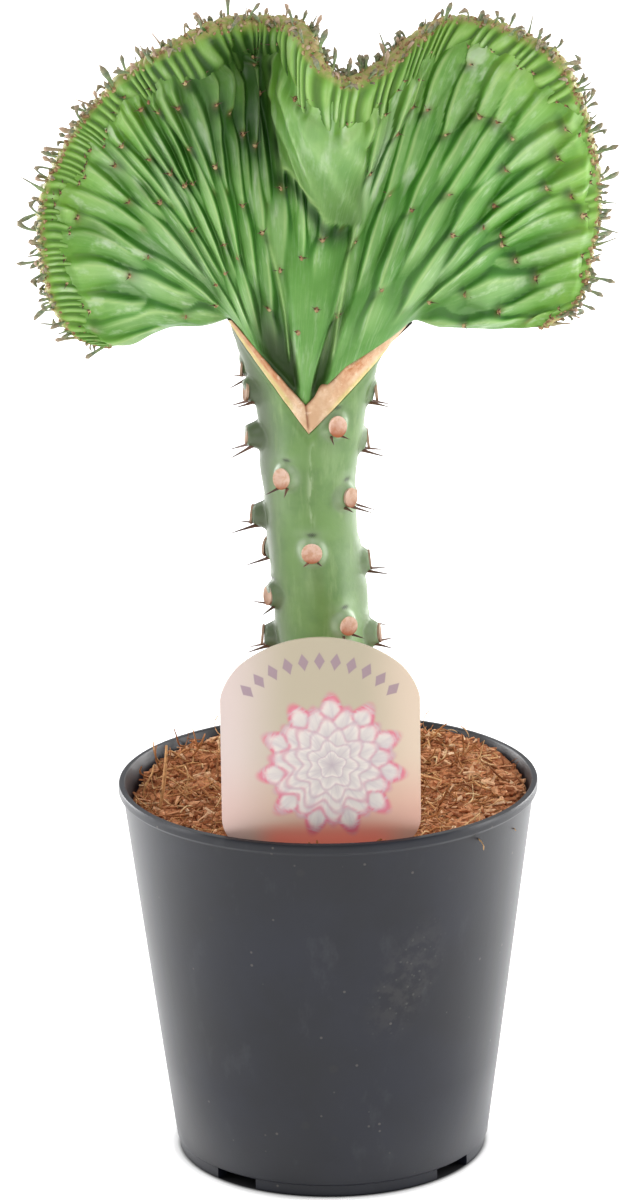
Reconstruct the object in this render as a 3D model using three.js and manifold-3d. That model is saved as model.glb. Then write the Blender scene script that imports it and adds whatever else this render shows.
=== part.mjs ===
// A grafted crested spurge in a nursery pot: a fan-shaped crest on a round green rootstock,
// joined by a V cut with a dry callus, standing in coir, with a plant label at the front.
// Millimetres, +Z up. The pot axis is the Z axis, the pot stands on z = 0, the front is -Y.
import * as THREE from 'three';
import { mergeVertices } from 'three/addons/utils/BufferGeometryUtils.js';
import Module from 'manifold-3d';

const wasm = await Module();
wasm.setup();

// Clearance between pieces that touch
const GAP = 0.3;
const DEGREE = Math.PI / 180;

// Pot
const POT_HEIGHT = 111;
const RIM_RADIUS = 60;
const LIP_WIDTH = 0.8;
const LIP_HEIGHT = 3.4;
const WALL = 1.2;
const FOOT_RADIUS = 44.4;
const FOOT_HEIGHT = 3.4;
const FOOT_STEP = 0.9;
const FOOT_WIDTH = 3.2;
const FLOOR_TOP = 5;
const POT_SIDES = 60;
const SLOT_WIDTH = 12;
const SLOT_ANGLES = [-32, 58, 148, 238];
const DRAIN_RADIUS = 4;
const DRAIN_CIRCLE = 29;
const DRAIN_COUNT = 6;
const DRAIN_SIDES = 10;

// Coir
const SOIL_LEVEL = 105.2;
const SOIL_TILT = 2.2;
const SOIL_CRUMB = 0.9;
const SOIL_SHOULDER = 101.5;
const SOIL_SIDES = 38;
const FIBRE_COUNT = 20;
const FIBRE_RADIUS = 0.42;

// Rootstock: offset of the axis from x = 0, half width and height above the ground
const STEM_SIDES = 26;
const STEM_LEVELS = 13;
const CALLUS_LEVELS = 6;
const STEM_STATIONS = [
  [2.2, 12.6, 58], [1.8, 13.2, 104], [-1.2, 13.2, 155], [-4.2, 12.8, 199],
  [-3.2, 14.2, 214], [-2.6, 16.6, 227], [-2.2, 20.6, 239], [-0.8, 25.6, 250],
];
const STEM_DEPTH_AT_SOIL = 13.2;
const STEM_DEPTH_AT_TOP = 12.2;
// Heights between which the rootstock flattens
const FLARE = { from: 200, to: 250 };
const TUBERCLE_PITCH = 20;
const TUBERCLE_TURN = -36;
// One row of leaf scars: its angle from the front, and the height of one scar in it
const TUBERCLE_ROWS = [[-2, 181.5], [97, 178], [168, 173], [-92, 167]];
const LONE_TUBERCLES = [[92, 228], [-96, 214]];
// Radius and height of a leaf scar's cone, from its sunk root to the flat scar
const TUBERCLE_PROFILE = [[0, -4], [5.2, -2.6], [3.7, 0.8], [2.6, 2.3], [0, 2.5]];
const TUBERCLE_SIDES = 7;
// The thorn pair sits this far below the middle of the scar
const THORN_DROP = 3.1;
const STEM_THORN = { length: 6, radius: 0.75, sunk: 1.6, spread: 28 };

// The V joint, as x and z: where the rootstock was cut, and where the crest was cut
const STOCK_V = [[-26.8, 248.8], [-4.2, 215.8], [24.9, 246.6]];
const CREST_V = [[-25.2, 249.2], [-5, 223.4], [6.5, 235.2], [24.2, 247.6]];
const STOCK_TOP = 248.3;
// Upright distance that leaves the gap across the sloping faces
const V_GAP = 1.4 * GAP;
// Half length of a cutting prism, longer than anything that it cuts
const CUT_REACH = 40;
const CALLUS_PROUD = 0.5;

// Crest margin from the lower left tip over both lobes to the lower right tip: x, y, z
const MARGIN_POINTS = [
  [-60, 0, 238.5], [-69, -3, 243], [-75, -6, 252], [-78, -6, 267], [-77, 0, 282.5],
  [-67, 5, 301], [-53, 2, 316], [-39, -3, 325.5], [-27, 3, 330], [-17, 9.5, 329.5],
  [-10, 7.5, 329.5], [-5.5, 0, 329.5], [-2.5, -7, 326.5], [1, -10.5, 320.5], [7, -8.5, 315.5],
  [16, -2, 317.5], [26, 4, 324.5], [35, 7, 329], [44, 4, 329], [56, -4, 326.5],
  [67, -7, 319], [74.5, -2, 300], [77.5, 4, 279], [75.5, 5, 262], [71.5, 0, 249.5],
  [62, -3, 243],
];
// Where along the margin the notch between the lobes lies, above the tip of the V
const NOTCH = 0.529;
// How strongly the lower rows crowd towards the ends of the V
const CROWDING = 1.8;
const RADIAL_REACH = 0.45;
const RADIAL_LIFT = 16;
const EDGE_LIFT = 2;
const EDGE_LIFT_SPAN = 0.12;
const UNDULATION_POWER = 1.7;
const CREASE = { at: 0.4, spread: 0.04, depth: 4.5, from: 0.45 };
const HALF_DEPTH_AT_V = 12.8;
const HALF_DEPTH_AT_MARGIN = 3.3;
const MARGIN_ROUNDING = 0.95;

// Rows of raised leaf bases on the crest, as shares of the way from the V to the margin
const ROWS = 44;
const BAND_START = 0.93;
const TOOTH_PITCH = 0.235;
const TIER_START = [0.1, 0.34, 0.66];
const TIER_PHASE = [0, 2, 1, 3];
const TOOTH_HEIGHT = 2.9;
const BAND_RIB_HEIGHT = 0.9;
const CREST_THORN = { length: 2.8, radius: 0.6, sunk: 1.2 };
// Share of the way out from the V where the thorns begin
const SPINES_FROM = 0.4;
const LEAFLET_COUNT = 92;
const LEAFLET_RADIUS = 0.55;

// Label
const LABEL = { x: -2.1, y: -49, bottom: 106, top: 167.6, halfWidth: 27.6, thickness: 0.8 };
const LABEL_ARCH = 13.5;
const LABEL_SHOULDER = 6;
const LABEL_CORNER = 6.5;
const STAKE = { halfWidth: 6, length: 44, taper: 12 };

const MATERIALS = {
  pot: new THREE.MeshStandardMaterial({ color: 0x3b3d42, roughness: 0.5, metalness: 0 }),
  coir: new THREE.MeshStandardMaterial({ color: 0x9a6238, roughness: 0.95, metalness: 0 }),
  stem: new THREE.MeshStandardMaterial({ color: 0x6fa35e, roughness: 0.5, metalness: 0 }),
  callus: new THREE.MeshStandardMaterial({ color: 0xc99a70, roughness: 0.8, metalness: 0 }),
  crest: new THREE.MeshStandardMaterial({ color: 0x62a344, roughness: 0.45, metalness: 0 }),
  label: new THREE.MeshStandardMaterial({ color: 0xdcc9ae, roughness: 0.35, metalness: 0 }),
};

// A repeatable stream of numbers from 0 to 1
function seededRandom(seed) {
  let state = seed >>> 0;
  return () => {
    state = (state + 0x6d2b79f5) >>> 0;
    let mixed = Math.imul(state ^ (state >>> 15), 1 | state);
    mixed = (mixed + Math.imul(mixed ^ (mixed >>> 7), 61 | mixed)) ^ mixed;
    return ((mixed ^ (mixed >>> 14)) >>> 0) / 4294967296;
  };
}

const lerp = THREE.MathUtils.lerp;

// Smooth step from 0 to 1 as value goes from low to high
function ease(low, high, value) {
  return THREE.MathUtils.smoothstep(value, low, high);
}

// A closed geometry becomes a solid that can be joined and cut
function solidOf(geometry) {
  const bare = geometry.clone();
  bare.deleteAttribute('normal');
  bare.deleteAttribute('uv');
  const merged = mergeVertices(bare, 1e-4);
  const corners = [];
  for (let i = 0; i < merged.index.count; i += 3) {
    const triangle = [merged.index.getX(i), merged.index.getX(i + 1), merged.index.getX(i + 2)];
    if (new Set(triangle).size === 3) corners.push(...triangle);
  }
  const vertProperties = new Float32Array(merged.attributes.position.array);
  const triVerts = new Uint32Array(corners);
  return new wasm.Manifold(new wasm.Mesh({ numProp: 3, vertProperties, triVerts }));
}

function joined(solids) {
  return solids.reduce((whole, piece) => whole.add(piece));
}

function nodeOf(name, solid, material) {
  const mesh = solid.getMesh();
  const geometry = new THREE.BufferGeometry();
  geometry.setAttribute('position', new THREE.BufferAttribute(mesh.vertProperties, 3));
  geometry.setIndex(new THREE.BufferAttribute(mesh.triVerts, 1));
  geometry.computeVertexNormals();
  const node = new THREE.Mesh(geometry, material);
  node.name = name;
  return node;
}

// A direction in plan at an angle from the front, positive towards +X
function fromFront(angle) {
  return new THREE.Vector3(Math.sin(angle * DEGREE), -Math.cos(angle * DEGREE), 0);
}

// A solid of revolution about Z from radius and height pairs
function turned(profile, sides) {
  const points = profile.map(([radius, height]) => new THREE.Vector2(radius, height));
  return new THREE.LatheGeometry(points, sides).rotateX(Math.PI / 2);
}

// An outline in x and z, extruded along Y from near to far
function prism(outline, near, far) {
  const shape = new THREE.Shape(outline.map(([x, z]) => new THREE.Vector2(x, z)));
  const slab = new THREE.ExtrudeGeometry(shape, { depth: far - near, bevelEnabled: false });
  return slab.rotateX(Math.PI / 2).translate(0, far, 0);
}

// A three-sided thorn from its base along a direction, its root sunk in
function thorn(base, direction, length, radius, sunk) {
  const cone = new THREE.ConeGeometry(radius, length + sunk, 3);
  cone.translate(0, (length - sunk) / 2, 0);
  const turn = new THREE.Quaternion().setFromUnitVectors(new THREE.Vector3(0, 1, 0), direction);
  return cone.applyQuaternion(turn).translate(base.x, base.y, base.z);
}

// A thin three-sided strand along a curve
function strand(points, radius, steps) {
  const section = new THREE.Shape();
  section.moveTo(radius, 0);
  section.lineTo(-radius / 2, radius * 0.87);
  section.lineTo(-radius / 2, -radius * 0.87);
  const extrudePath = new THREE.CatmullRomCurve3(points);
  return new THREE.ExtrudeGeometry(section, { steps, bevelEnabled: false, extrudePath });
}

// Outer radius of the pot wall below the lip at a height
function wallRadius(height) {
  const low = FOOT_RADIUS + FOOT_STEP;
  return lerp(low, RIM_RADIUS - LIP_WIDTH, (height - FOOT_HEIGHT) / (POT_HEIGHT - FOOT_HEIGHT));
}

function makePot() {
  const lipBottom = POT_HEIGHT - LIP_HEIGHT;
  const innerFoot = FOOT_RADIUS - FOOT_WIDTH;
  const underside = FLOOR_TOP - WALL;
  const body = solidOf(turned([
    [0, underside], [innerFoot, underside], [innerFoot, 0], [FOOT_RADIUS - 0.8, 0],
    [FOOT_RADIUS, 0.9], [FOOT_RADIUS, FOOT_HEIGHT], [wallRadius(FOOT_HEIGHT), FOOT_HEIGHT + 0.9],
    [wallRadius(lipBottom), lipBottom], [RIM_RADIUS, lipBottom + LIP_WIDTH],
    [RIM_RADIUS, POT_HEIGHT - 0.5], [RIM_RADIUS - 0.5, POT_HEIGHT],
    [wallRadius(POT_HEIGHT) - WALL, POT_HEIGHT], [wallRadius(FLOOR_TOP) - WALL, FLOOR_TOP],
    [0, FLOOR_TOP],
  ], POT_SIDES));
  const slots = SLOT_ANGLES.map((angle) => {
    const slot = new THREE.BoxGeometry(SLOT_WIDTH, 4 * FOOT_WIDTH, 2 * (FOOT_HEIGHT - 0.2));
    const spot = fromFront(angle).multiplyScalar(FOOT_RADIUS);
    return solidOf(slot.rotateZ(angle * DEGREE).translate(spot.x, spot.y, 0));
  });
  const drains = [...Array(DRAIN_COUNT + 1).keys()].map((i) => {
    const hole = new THREE.CylinderGeometry(DRAIN_RADIUS, DRAIN_RADIUS, 4 * WALL, DRAIN_SIDES);
    const spot = fromFront((360 / DRAIN_COUNT) * i).multiplyScalar(i < DRAIN_COUNT ? DRAIN_CIRCLE : 0);
    return solidOf(hole.rotateX(Math.PI / 2).translate(spot.x, spot.y, FLOOR_TOP - WALL / 2));
  });
  return [...slots, ...drains].reduce((pot, cutter) => pot.subtract(cutter), body);
}

const stemCurve = new THREE.CatmullRomCurve3(STEM_STATIONS.map((s) => new THREE.Vector3(...s)));

// Axis offset, half width and half depth of the rootstock at a height
function stemAt(height) {
  let low = 0;
  let high = 1;
  for (let i = 0; i < 30; i += 1) {
    const middle = (low + high) / 2;
    if (stemCurve.getPoint(middle).z < height) low = middle;
    else high = middle;
  }
  const station = stemCurve.getPoint(low);
  const rise = ease(FLARE.from, FLARE.to, height);
  const atSoil = Math.min(station.y, STEM_DEPTH_AT_SOIL);
  return { x: station.x, halfWidth: station.y, halfDepth: lerp(atSoil, STEM_DEPTH_AT_TOP, rise) };
}

// Point on the rootstock's skin, grown outwards by extra
function stemSkin(height, angle, extra) {
  const section = stemAt(height);
  const way = fromFront(angle);
  const x = section.x + way.x * (section.halfWidth + extra);
  return new THREE.Vector3(x, way.y * (section.halfDepth + extra), height);
}

// The rootstock's outer shape between two heights
function stemShape(bottom, top, extra, levels) {
  const profile = [[0, bottom]];
  for (let i = 0; i <= levels; i += 1) {
    profile.push([1, lerp(bottom, top, i / levels)]);
  }
  profile.push([0, top]);
  const geometry = turned(profile, STEM_SIDES);
  const spots = geometry.attributes.position;
  for (let i = 0; i < spots.count; i += 1) {
    const height = spots.getZ(i);
    const section = stemAt(height);
    const x = section.x + spots.getX(i) * (section.halfWidth + extra);
    spots.setXYZ(i, x, spots.getY(i) * (section.halfDepth + extra), height);
  }
  return solidOf(geometry);
}

// A low cone with a round leaf scar on top, and the pair of thorns below it
function tubercle(angle, height, random) {
  const base = stemSkin(height, angle, 0);
  const out = fromFront(angle);
  out.z = 0.12;
  out.normalize();
  const cone = turned(TUBERCLE_PROFILE, TUBERCLE_SIDES);
  const turn = new THREE.Quaternion().setFromUnitVectors(new THREE.Vector3(0, 0, 1), out);
  cone.applyQuaternion(turn).translate(base.x, base.y, base.z);
  const pieces = [solidOf(cone)];
  for (const side of [-1, 1]) {
    const way = fromFront(angle + side * (STEM_THORN.spread + 10 * random()));
    way.z = -0.25 - 0.25 * random();
    const foot = stemSkin(height - THORN_DROP, angle + side * 5, 0.4);
    const length = STEM_THORN.length * (0.8 + 0.4 * random());
    pieces.push(solidOf(thorn(foot, way.normalize(), length, STEM_THORN.radius, STEM_THORN.sunk)));
  }
  return joined(pieces);
}

function makeStem() {
  const random = seededRandom(11);
  const scars = [...LONE_TUBERCLES];
  for (const [angle, height] of TUBERCLE_ROWS) {
    for (let step = -3; step <= 2; step += 1) {
      scars.push([angle + TUBERCLE_TURN * step, height + TUBERCLE_PITCH * step]);
    }
  }
  const clear = scars.filter(([, height]) => height > SOIL_LEVEL + 9);
  const bumps = clear.map(([angle, height]) => tubercle(angle, height, random));
  const bottom = STEM_STATIONS[0][2];
  const body = joined([stemShape(bottom, STOCK_TOP, 0, STEM_LEVELS), ...bumps]);
  const [left, tip, right] = STOCK_V;
  const sky = STOCK_TOP + CUT_REACH;
  const above = [left, tip, right, [CUT_REACH, right[1]], [CUT_REACH, sky], [-CUT_REACH, sky],
    [-CUT_REACH, left[1]]];
  return body.subtract(solidOf(prism(above, -CUT_REACH, CUT_REACH)));
}

function makeCallus() {
  const lower = STOCK_V.map(([x, z]) => [x, z + V_GAP]);
  const upper = CREST_V.map(([x, z]) => [x, z - V_GAP]).reverse();
  const bottom = STOCK_V[1][1] - 4;
  const neck = stemShape(bottom, STOCK_TOP, CALLUS_PROUD, CALLUS_LEVELS);
  return neck.intersect(solidOf(prism([...lower, ...upper], -CUT_REACH, CUT_REACH)));
}

const marginCurve = new THREE.CatmullRomCurve3(MARGIN_POINTS.map((p) => new THREE.Vector3(...p)));
marginCurve.arcLengthDivisions = 1200;

// A point of the crest's cut, u running from the left end of the V to the right end
function cutPoint(u) {
  const [left, tip, bend, right] = CREST_V;
  if (u < NOTCH) {
    const share = (u / NOTCH) ** CROWDING;
    return new THREE.Vector3(lerp(left[0], tip[0], share), 0, lerp(left[1], tip[1], share));
  }
  const share = 1 - ((1 - u) / (1 - NOTCH)) ** CROWDING;
  const [a, b, local] = share < 0.4 ? [tip, bend, share / 0.4] : [bend, right, (share - 0.4) / 0.6];
  return new THREE.Vector3(lerp(a[0], b[0], local), 0, lerp(a[1], b[1], local));
}

// The crest's middle surface: u along the margin, v from the cut to the margin
function middle(u, v) {
  const cut = cutPoint(u);
  const rim = marginCurve.getPointAt(u);
  const edge = Math.min(u, 1 - u);
  const spread = Math.min(1, Math.abs(rim.x - cut.x) / 50);
  const lift = lerp(EDGE_LIFT, RADIAL_LIFT, ease(0, EDGE_LIFT_SPAN, edge)) * spread;
  const bend = cut.clone().lerp(rim, RADIAL_REACH);
  bend.z += lift;
  const point = cut.clone().multiplyScalar((1 - v) ** 2);
  point.addScaledVector(bend, 2 * v * (1 - v)).addScaledVector(rim, v * v);
  const crease = CREASE.depth * Math.exp(-(((u - CREASE.at) / CREASE.spread) ** 2));
  point.y = rim.y * v ** UNDULATION_POWER + crease * ease(CREASE.from, 0.8, v) * (1 - ease(0.85, 1, v));
  return point;
}

// Unit vector out of the crest's front: straight forward near the V, square to the skin further out
function frontNormal(u, v) {
  const step = 1e-3;
  const along = middle(Math.min(1, u + step), v).sub(middle(Math.max(0, u - step), v));
  const outward = middle(u, Math.min(1, v + step)).sub(middle(u, Math.max(0, v - step)));
  const square = along.cross(outward).normalize();
  return new THREE.Vector3(0, -1, 0).lerp(square, ease(0.5, 0.9, v)).normalize();
}

// Half thickness of the crest, rounded off at its lower edges and at the margin
function halfDepth(u, v) {
  const rounding = lerp(0.5, 0.07, ease(0, 0.5, v));
  const inward = 1 - Math.min(1, Math.min(u, 1 - u) / rounding);
  const halfWidth = (CREST_V[3][0] - CREST_V[0][0]) / 2;
  const fromEnds = Math.min(1, Math.abs(cutPoint(u).x - CREST_V[0][0] - halfWidth) / halfWidth);
  const round = lerp(Math.sqrt(1 - fromEnds ** 2), Math.sqrt(1 - inward ** 2), ease(0, 0.3, v));
  const atMargin = Math.max(0, (v - MARGIN_ROUNDING) / (1 - MARGIN_ROUNDING));
  const full = lerp(HALF_DEPTH_AT_V, HALF_DEPTH_AT_MARGIN, ease(0, 0.8, v));
  return full * round * Math.sqrt(Math.max(0, 1 - atMargin ** 2));
}

// Which of the three sets a row belongs to: the sets start one after another as the fan widens
function tierOf(row) {
  if (row % 2 === 0) return 2;
  return row % 4 === 1 ? 0 : 1;
}

// Quarter of a tooth by which a row's teeth are staggered
function phaseOf(row) {
  if (tierOf(row) < 2) return TIER_PHASE[tierOf(row)];
  return row % 4 === 0 ? TIER_PHASE[2] : TIER_PHASE[3];
}

// Half width of a raised leaf base, in rows, where only some sets of rows have started
function reachAt(v) {
  return 2 - ease(0.26, 0.4, v) - 0.5 * ease(0.58, 0.72, v);
}

// Height of the leaf bases above the skin: each rises from a point to its head, then drops
function relief(u, v) {
  const edge = ease(0, 0.03, Math.min(u, 1 - u));
  if (v > BAND_START) {
    const rib = 1 - Math.abs(2 * ((u * ROWS * 2) % 1) - 1);
    return BAND_RIB_HEIGHT * rib * edge * Math.sin(Math.PI * (v - BAND_START) / (1 - BAND_START));
  }
  let best = 0;
  const nearest = Math.floor(u * ROWS);
  for (let row = Math.max(0, nearest - 2); row <= Math.min(ROWS - 1, nearest + 2); row += 1) {
    if (v < TIER_START[tierOf(row)]) continue;
    const fromHead = (BAND_START - v) / TOOTH_PITCH - phaseOf(row) / 4;
    const share = 1 - (fromHead - Math.floor(fromHead));
    const rise = share < 0.88 ? (share / 0.88) ** 0.8 : (1 - share) / 0.12;
    const width = reachAt(v) * (0.4 + 0.6 * ease(0, 0.6, share));
    const across = Math.abs(u * ROWS - row - 0.5) / width;
    best = Math.max(best, Math.max(0, rise) * (1 - across));
  }
  return TOOTH_HEIGHT * best * edge * ease(0.05, 0.3, v);
}

// Point on the crest's skin: side is 1 on the front and -1 on the back
function skin(u, v, side) {
  const out = frontNormal(u, v).multiplyScalar(side * (halfDepth(u, v) + relief(u, v)));
  return middle(u, v).add(out);
}

// Rows of points on one face, with more of them as the fan widens
function faceLevels(side) {
  const quarter = TOOTH_PITCH / 4;
  const levels = [{ v: 1, step: 0.25 }, { v: 0.967, step: 0.25 }];
  for (let i = 0; BAND_START - i * quarter > 0.04; i += 1) {
    const v = BAND_START - i * quarter;
    let step = 2;
    if (v > TIER_START[2]) step = 0.5;
    else if (v > TIER_START[1]) step = 1;
    levels.push({ v, step, index: i });
  }
  levels.push({ v: 0, step: 2 });
  return levels.map(({ v, step, index }) => {
    const start = step < 1 ? step : step - 0.5;
    const stations = [0];
    for (let position = start; position < ROWS - 0.01; position += step) stations.push(position / ROWS);
    stations.push(1);
    return stations.map((u) => {
      const row = u * ROWS - 0.5;
      const onRow = Math.abs(row - Math.round(row)) < 0.01 && u > 0 && u < 1;
      const peak = onRow && index !== undefined && (index - phaseOf(Math.round(row)) + 4) % 4 === 1;
      return { u, point: skin(u, v + (peak ? 0.6 * quarter : 0), side) };
    });
  });
}

// The strip between two rows of points that need not be equally many
function stitch(outer, inner, flip, corners) {
  let i = 0;
  let j = 0;
  while (i < outer.length - 1 || j < inner.length - 1) {
    const takeOuter = j === inner.length - 1
      || (i < outer.length - 1 && outer[i + 1].u <= inner[j + 1].u);
    const third = takeOuter ? outer[i + 1] : inner[j + 1];
    const triangle = [outer[i].point, third.point, inner[j].point];
    if (flip) triangle.reverse();
    corners.push(...triangle);
    if (takeOuter) i += 1;
    else j += 1;
  }
}

function crestBody() {
  const corners = [];
  const front = faceLevels(1);
  const back = faceLevels(-1);
  for (let i = 0; i < front.length - 1; i += 1) {
    stitch(front[i], front[i + 1], true, corners);
    stitch(back[i], back[i + 1], false, corners);
  }
  stitch(front.at(-1), back.at(-1), true, corners);
  const geometry = new THREE.BufferGeometry().setFromPoints(corners);
  const shaved = CREST_V.map(([x, z]) => [x, z + GAP / 2]);
  const ground = CREST_V[1][1] - CUT_REACH;
  const below = [...shaved, [CREST_V[3][0], ground], [CREST_V[0][0], ground]];
  return solidOf(geometry).subtract(solidOf(prism(below, -CUT_REACH, CUT_REACH)));
}

// Small curled leaflets along the margin, leaning to the front and the back by turns
function leaflets(random) {
  return [...Array(LEAFLET_COUNT).keys()].map((i) => {
    const u = (i + 0.3 + 0.4 * random()) / LEAFLET_COUNT;
    const side = i % 2 === 0 ? 1 : -1;
    const root = middle(u, 0.975);
    const out = marginCurve.getPointAt(u).sub(middle(u, 0.93)).normalize();
    const face = frontNormal(u, 0.97).multiplyScalar(side);
    const along = marginCurve.getTangentAt(u).multiplyScalar(random() - 0.5);
    const length = 3.5 + 4 * random();
    const start = root.clone().addScaledVector(face, 1.2);
    const halfway = start.clone().addScaledVector(out, 1.4 + 0.55 * length);
    halfway.addScaledVector(face, 0.3 * length);
    const end = halfway.clone().addScaledVector(out, 0.45 * length).addScaledVector(along, 3);
    end.addScaledVector(face, (random() - 0.4) * 2);
    return solidOf(strand([start, halfway, end], LEAFLET_RADIUS, 2));
  });
}

// A short thorn at the head of each raised leaf base of the rows that start first
function crestSpines(random) {
  const spines = [];
  for (let row = 1; row < ROWS; row += 2) {
    for (const side of [1, -1]) {
      for (let k = 0; k < 4; k += 1) {
        const head = BAND_START - TOOTH_PITCH * (k + phaseOf(row) / 4);
        const u = (row + 0.5) / ROWS;
        const v = head - 0.025;
        if (v < SPINES_FROM) continue;
        const way = middle(u, Math.min(1, v + 0.05)).sub(middle(u, v)).normalize();
        way.addScaledVector(frontNormal(u, v), side * 0.9).normalize();
        const length = CREST_THORN.length * (0.8 + 0.4 * random());
        const foot = skin(u, v, side);
        spines.push(solidOf(thorn(foot, way, length, CREST_THORN.radius, CREST_THORN.sunk)));
      }
    }
  }
  return spines;
}

function makeCrest() {
  const random = seededRandom(23);
  return joined([crestBody(), ...leaflets(random), ...crestSpines(random)]);
}

// Outline of the label, grown by extra: an arch on top, rounded shoulders and lower corners
function labelOutline(extra) {
  const half = LABEL.halfWidth + extra;
  const bottom = LABEL.bottom - extra;
  const top = LABEL.top + extra;
  const archRadius = (half ** 2 + LABEL_ARCH ** 2) / (2 * LABEL_ARCH);
  const archEnd = half - LABEL_SHOULDER;
  const archAngle = Math.acos(archEnd / archRadius);
  const archEndHeight = top - archRadius + archRadius * Math.sin(archAngle);
  const shape = new THREE.Shape();
  shape.moveTo(-half, bottom + LABEL_CORNER);
  shape.quadraticCurveTo(-half, bottom, -half + LABEL_CORNER, bottom);
  shape.lineTo(half - LABEL_CORNER, bottom);
  shape.quadraticCurveTo(half, bottom, half, bottom + LABEL_CORNER);
  shape.lineTo(half, archEndHeight - 1.7 * LABEL_SHOULDER);
  shape.quadraticCurveTo(half, archEndHeight - 0.5 * LABEL_SHOULDER, archEnd, archEndHeight);
  shape.absarc(0, top - archRadius, archRadius, archAngle, Math.PI - archAngle);
  shape.quadraticCurveTo(-half, archEndHeight - 0.5 * LABEL_SHOULDER,
    -half, archEndHeight - 1.7 * LABEL_SHOULDER);
  return shape.getPoints(6).map(({ x, y }) => [x + LABEL.x, y]);
}

// Outline of the stake below the label, grown by extra
function stakeOutline(extra) {
  const half = STAKE.halfWidth + extra;
  const bottom = LABEL.bottom - STAKE.length - extra;
  const top = LABEL.bottom + 1;
  const outline = [[-half, top], [-half, bottom + STAKE.taper], [0, bottom], [half, bottom + STAKE.taper],
    [half, top]];
  return outline.map(([x, z]) => [x + LABEL.x, z]);
}

function labelShape(extra) {
  const near = LABEL.y - LABEL.thickness / 2 - extra;
  const far = LABEL.y + LABEL.thickness / 2 + extra;
  const plate = solidOf(prism(labelOutline(extra), near, far));
  return plate.add(solidOf(prism(stakeOutline(extra), near, far)));
}

// Height of the coir, lower on the left, slightly heaped round the stem
function soilHeight(x, y) {
  const span = wallRadius(SOIL_LEVEL) - WALL;
  const share = (x * x + y * y) / (span * span);
  return SOIL_LEVEL + SOIL_TILT * (x / span) + 1.2 * (1 - share);
}

function soilBody(random) {
  const outer = wallRadius(SOIL_SHOULDER) - WALL - GAP;
  const foot = wallRadius(FLOOR_TOP + GAP) - WALL - GAP;
  const rings = [0, 12, 18, 24, 30, 36, 42, 48, outer];
  const profile = [[0, FLOOR_TOP + GAP], [foot, FLOOR_TOP + GAP], [outer, SOIL_SHOULDER]];
  for (const radius of rings.reverse()) profile.push([radius, SOIL_LEVEL]);
  const geometry = turned(profile, SOIL_SIDES);
  const bare = mergeVertices(geometry.deleteAttribute('normal').deleteAttribute('uv'), 1e-3);
  const spots = bare.attributes.position;
  for (let i = 0; i < spots.count; i += 1) {
    if (Math.abs(spots.getZ(i) - SOIL_LEVEL) > 1) continue;
    const crumb = SOIL_CRUMB * (2 * random() - 1);
    spots.setZ(i, soilHeight(spots.getX(i), spots.getY(i)) + crumb);
  }
  return solidOf(bare);
}

// Loose fibres half sunk in the coir, clear of the stem, the label and the pot wall
function fibres(random) {
  const strands = [];
  while (strands.length < FIBRE_COUNT) {
    const angle = 360 * random();
    const centre = fromFront(angle).multiplyScalar(20 + 26 * random());
    const way = fromFront(360 * random());
    const length = 9 + 9 * random();
    const points = [-0.5, 0, 0.5].map((share) => {
      const spot = centre.clone().addScaledVector(way, share * length);
      spot.z = soilHeight(spot.x, spot.y) + (share === 0 ? 1.3 : -0.6);
      return spot;
    });
    const nearLabel = points.some((p) => p.y < LABEL.y + 5 && Math.abs(p.x - LABEL.x) < LABEL.halfWidth + 3);
    const nearStem = points.some((p) => Math.hypot(p.x - STEM_STATIONS[1][0], p.y) < 17);
    const nearWall = points.some((p) => Math.hypot(p.x, p.y) > 54);
    if (!nearLabel && !nearStem && !nearWall) strands.push(solidOf(strand(points, FIBRE_RADIUS, 2)));
  }
  return strands;
}

function makeSoil() {
  const random = seededRandom(37);
  const body = joined([soilBody(random), ...fibres(random)]);
  const stemHole = stemShape(STEM_STATIONS[0][2] - GAP, POT_HEIGHT + 10, 1.2 * GAP, 4);
  return body.subtract(stemHole).subtract(labelShape(GAP));
}

const plant = new THREE.Group();
plant.add(nodeOf('pot', makePot(), MATERIALS.pot));
plant.add(nodeOf('coir_soil', makeSoil(), MATERIALS.coir));
plant.add(nodeOf('rootstock_stem', makeStem(), MATERIALS.stem));
plant.add(nodeOf('graft_callus', makeCallus(), MATERIALS.callus));
plant.add(nodeOf('crest', makeCrest(), MATERIALS.crest));
plant.add(nodeOf('plant_label', labelShape(0), MATERIALS.label));

export default plant;
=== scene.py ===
"""Looks of a grafted crested spurge in a nursery pot.

The front is -Y and the pot stands on z = 0. Lengths are millimetres until a mesh is made.
"""

import math

import bmesh
import bpy
import numpy as np
from mathutils import Matrix, Vector, noise


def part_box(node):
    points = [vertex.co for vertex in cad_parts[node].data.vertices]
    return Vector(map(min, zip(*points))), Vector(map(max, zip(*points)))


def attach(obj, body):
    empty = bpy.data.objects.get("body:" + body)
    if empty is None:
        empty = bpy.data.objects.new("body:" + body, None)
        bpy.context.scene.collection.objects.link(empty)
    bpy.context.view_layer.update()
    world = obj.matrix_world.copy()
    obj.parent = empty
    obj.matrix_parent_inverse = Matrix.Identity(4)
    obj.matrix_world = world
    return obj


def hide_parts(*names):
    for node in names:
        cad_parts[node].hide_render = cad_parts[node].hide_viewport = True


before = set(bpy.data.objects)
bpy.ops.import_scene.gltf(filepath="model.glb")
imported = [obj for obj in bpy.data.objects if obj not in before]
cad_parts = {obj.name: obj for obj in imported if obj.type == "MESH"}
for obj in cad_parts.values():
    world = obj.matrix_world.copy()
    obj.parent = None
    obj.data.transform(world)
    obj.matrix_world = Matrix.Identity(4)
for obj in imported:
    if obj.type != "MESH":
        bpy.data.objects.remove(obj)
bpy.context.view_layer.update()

MM = 0.001
# Points of one mesh that lie closer than this, in metres, are one point
SEAM = 2e-6


# Numbers

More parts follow.
